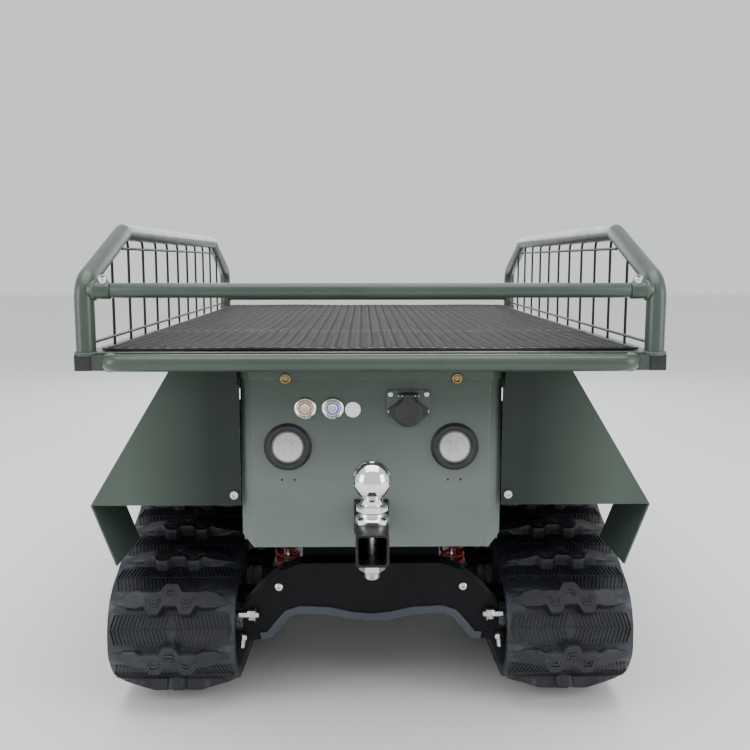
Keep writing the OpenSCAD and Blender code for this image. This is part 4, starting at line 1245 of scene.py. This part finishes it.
def main():
    make_camera()
    make_studio()
    green = painted("army_green", (0.030, 0.050, 0.035), (0.040, 0.063, 0.046), (0.016, 0.028, 0.019), 0.34,
                    coat=0.30, wear=(0.26, 0.31, 0.27))
    # Rear panel and upper hull: the green paint, with its lower part painted lighter as a painted reflection.
    panel_green = painted("panel_green", (0.034, 0.050, 0.038), (0.042, 0.060, 0.046), (0.024, 0.038, 0.028),
                          0.42, coat=0.10, wear=(0.36, 0.42, 0.37),
                          painted_reflection=(2, 0.460, 0.345, (0.130, 0.158, 0.148)))
    # Cover plates: the green paint darkened as painted shade near the hull, with a painted reflection coming
    # in towards the outer edges.
    cover_painted_shade_and_reflection = painted("cover_painted_shade_and_reflection", (0.007, 0.014, 0.009), (0.011, 0.020, 0.013), (0.004, 0.009, 0.006),
                          0.40, coat=0.06, wear=(0.30, 0.36, 0.30),
                          painted_reflection=(0, 0.215, 0.330, (0.066, 0.092, 0.074)), specular=0.3)
    weld_green = painted("weld_green", (0.036, 0.058, 0.042), (0.070, 0.100, 0.078), (0.016, 0.028, 0.020),
                         0.34, coat=0.30, grain=500.0, edge=0.0005)
    black = painted("satin_black", (0.0035, 0.0035, 0.0045), (0.007, 0.007, 0.009), (0.002, 0.002, 0.003),
                    0.40, wear=(0.12, 0.12, 0.13), specular=0.35)
    # Rear beam and lower hull: the black paint made darker and less shiny, painted shade for their place in
    # shadow under the hull.
    shaded_black = painted("black_painted_shade", (0.0025, 0.0025, 0.0035), (0.005, 0.005, 0.007),
                         (0.0015, 0.0015, 0.002), 0.5, wear=(0.05, 0.055, 0.065), specular=0.15)
    # Beam lip: the beam's black paint, painted lighter and blue-grey as painted light on the lit flange edge.
    black_lip_painted_light = painted("black_lip_painted_light", (0.018, 0.024, 0.036), (0.034, 0.042, 0.056), (0.010, 0.013, 0.020), 0.36,
                       wear=(0.22, 0.25, 0.30), edge=0.0008)
    iron = painted("wheel_black", (0.004, 0.004, 0.005), (0.008, 0.008, 0.010), (0.002, 0.002, 0.003), 0.45,
                   wear=(0.12, 0.12, 0.13), specular=0.3)
    red = painted("shock_red", (0.42, 0.022, 0.016), (0.50, 0.034, 0.022), (0.26, 0.015, 0.012), 0.35,
                  coat=0.2)
    white = painted("white_label", (0.80, 0.81, 0.80), (0.86, 0.87, 0.87), (0.66, 0.67, 0.66), 0.35, coat=0.3,
                    edge=0.0004)
    track = rubbery("track_rubber", (0.0085, 0.0095, 0.0130), (0.060, 0.066, 0.080), 0.42, 0.55)
    pads = rubbery("track_pad_rubber", (0.016, 0.020, 0.030), (0.095, 0.100, 0.115), 0.34, 0.55)
    marks = rubbery("track_mark_rubber", (0.012, 0.013, 0.017), (0.170, 0.175, 0.190), 0.40, 0.8)
    tyre = rubbery("tyre_rubber", (0.008, 0.008, 0.010), (0.050, 0.050, 0.050), 0.60, 0.5)
    mat = rubbery("mat_rubber", (0.014, 0.014, 0.014), (0.120, 0.120, 0.112), 0.46, 0.75)
    grommet = rubbery("grommet_rubber", (0.012, 0.013, 0.016), (0.075, 0.078, 0.085), 0.38, 0.4,
                      600.0, 0.0005)
    plastic = moulded("black_plastic", (0.012, 0.012, 0.013), 0.42)
    pack = moulded("pack_plastic", (0.040, 0.060, 0.100), 0.45)
    chrome = metallic("chrome", (0.86, 0.86, 0.87), (0.62, 0.62, 0.63), 0.07, grain=160.0)
    zinc = metallic("zinc", (0.66, 0.67, 0.68), (0.44, 0.44, 0.43), 0.28)
    brass = metallic("yellow_zinc", (0.34, 0.27, 0.12), (0.12, 0.11, 0.07), 0.30, stain=0.8)
    turned = metallic("turned_steel", (0.72, 0.69, 0.62), (0.42, 0.38, 0.32), 0.22, (1, 1, 5), stain=0.6)
    cast = metallic("cast_alloy", (0.42, 0.43, 0.44), (0.26, 0.26, 0.27), 0.45)
    lens = metallic("lamp_reflector", (0.50, 0.50, 0.49), (0.34, 0.34, 0.33), 0.30, grain=700.0, stain=0.6)
    trim = moulded("lamp_trim", (0.10, 0.105, 0.11), 0.35)
    glows = {"power_button": glowing("orange_glow", (0.34, 0.070, 0.020), (1.0, 0.16, 0.03), 0.04),
             "drive_button": glowing("blue_glow", (0.010, 0.020, 0.45), (0.02, 0.04, 1.0), 0.35)}

    track_makers = ((band_piece, track), (lugs_piece, track), (pads_piece, pads), (ribs_piece, track),
                    (marks_piece, marks), (horns_piece, track))
    for side, sign in SIDES.items():
        for maker, material in track_makers:
            maker(side, material)
        wheel_pieces(f"idler_{side}", tyre, iron, "black_iron", 0)
        wheel_pieces(f"return_roller_{side}", tyre, iron, "black_iron", 0)
        for i in range(1, 5):
            wheel_pieces(f"road_wheel_{side}_{i}", tyre, iron, "wheel_rubber", 0.010)
        shock_pieces(side, sign, black, red, white, zinc)
    rack_pieces(green, weld_green)
    guard_pieces(black)
    mat_pieces(mat)
    hitch_pieces(chrome, black, zinc)
    lamp_pieces(grommet, lens, trim)
    button_pieces(turned, glows)
    marker_piece(white)
    socket_pieces(green, plastic, zinc)
    fastener_pieces(zinc, brass)
    # The lip gets the black paint with painted light.
    beam_lip(black_lip_painted_light)

    arms = [f"arm_{side}_{i}" for side in SIDES for i in range(1, 5)]
    for names, material, edge in (
            (["upper_hull", "rear_panel"], panel_green, 0.0012),
            (["hull_lid"], green, 0.0010),
            (["cover_left", "cover_right"], cover_painted_shade_and_reflection, 0.0007),
            (["rack_frame", "deck_plate"], green, 0.0008),
            (["tube_plugs"], plastic, 0.0008),
            (["rear_beam", "lower_hull"], shaded_black, 0.0014),
            (arms + ["sprocket_left", "sprocket_right"], iron, 0.0010),
            (["axle_stubs"], zinc, 0.0010),
            (["drive_motors"], cast, 0.0030),
            (["battery_pack"], pack, 0.0040)):
        dress(names, material, edge)


main()
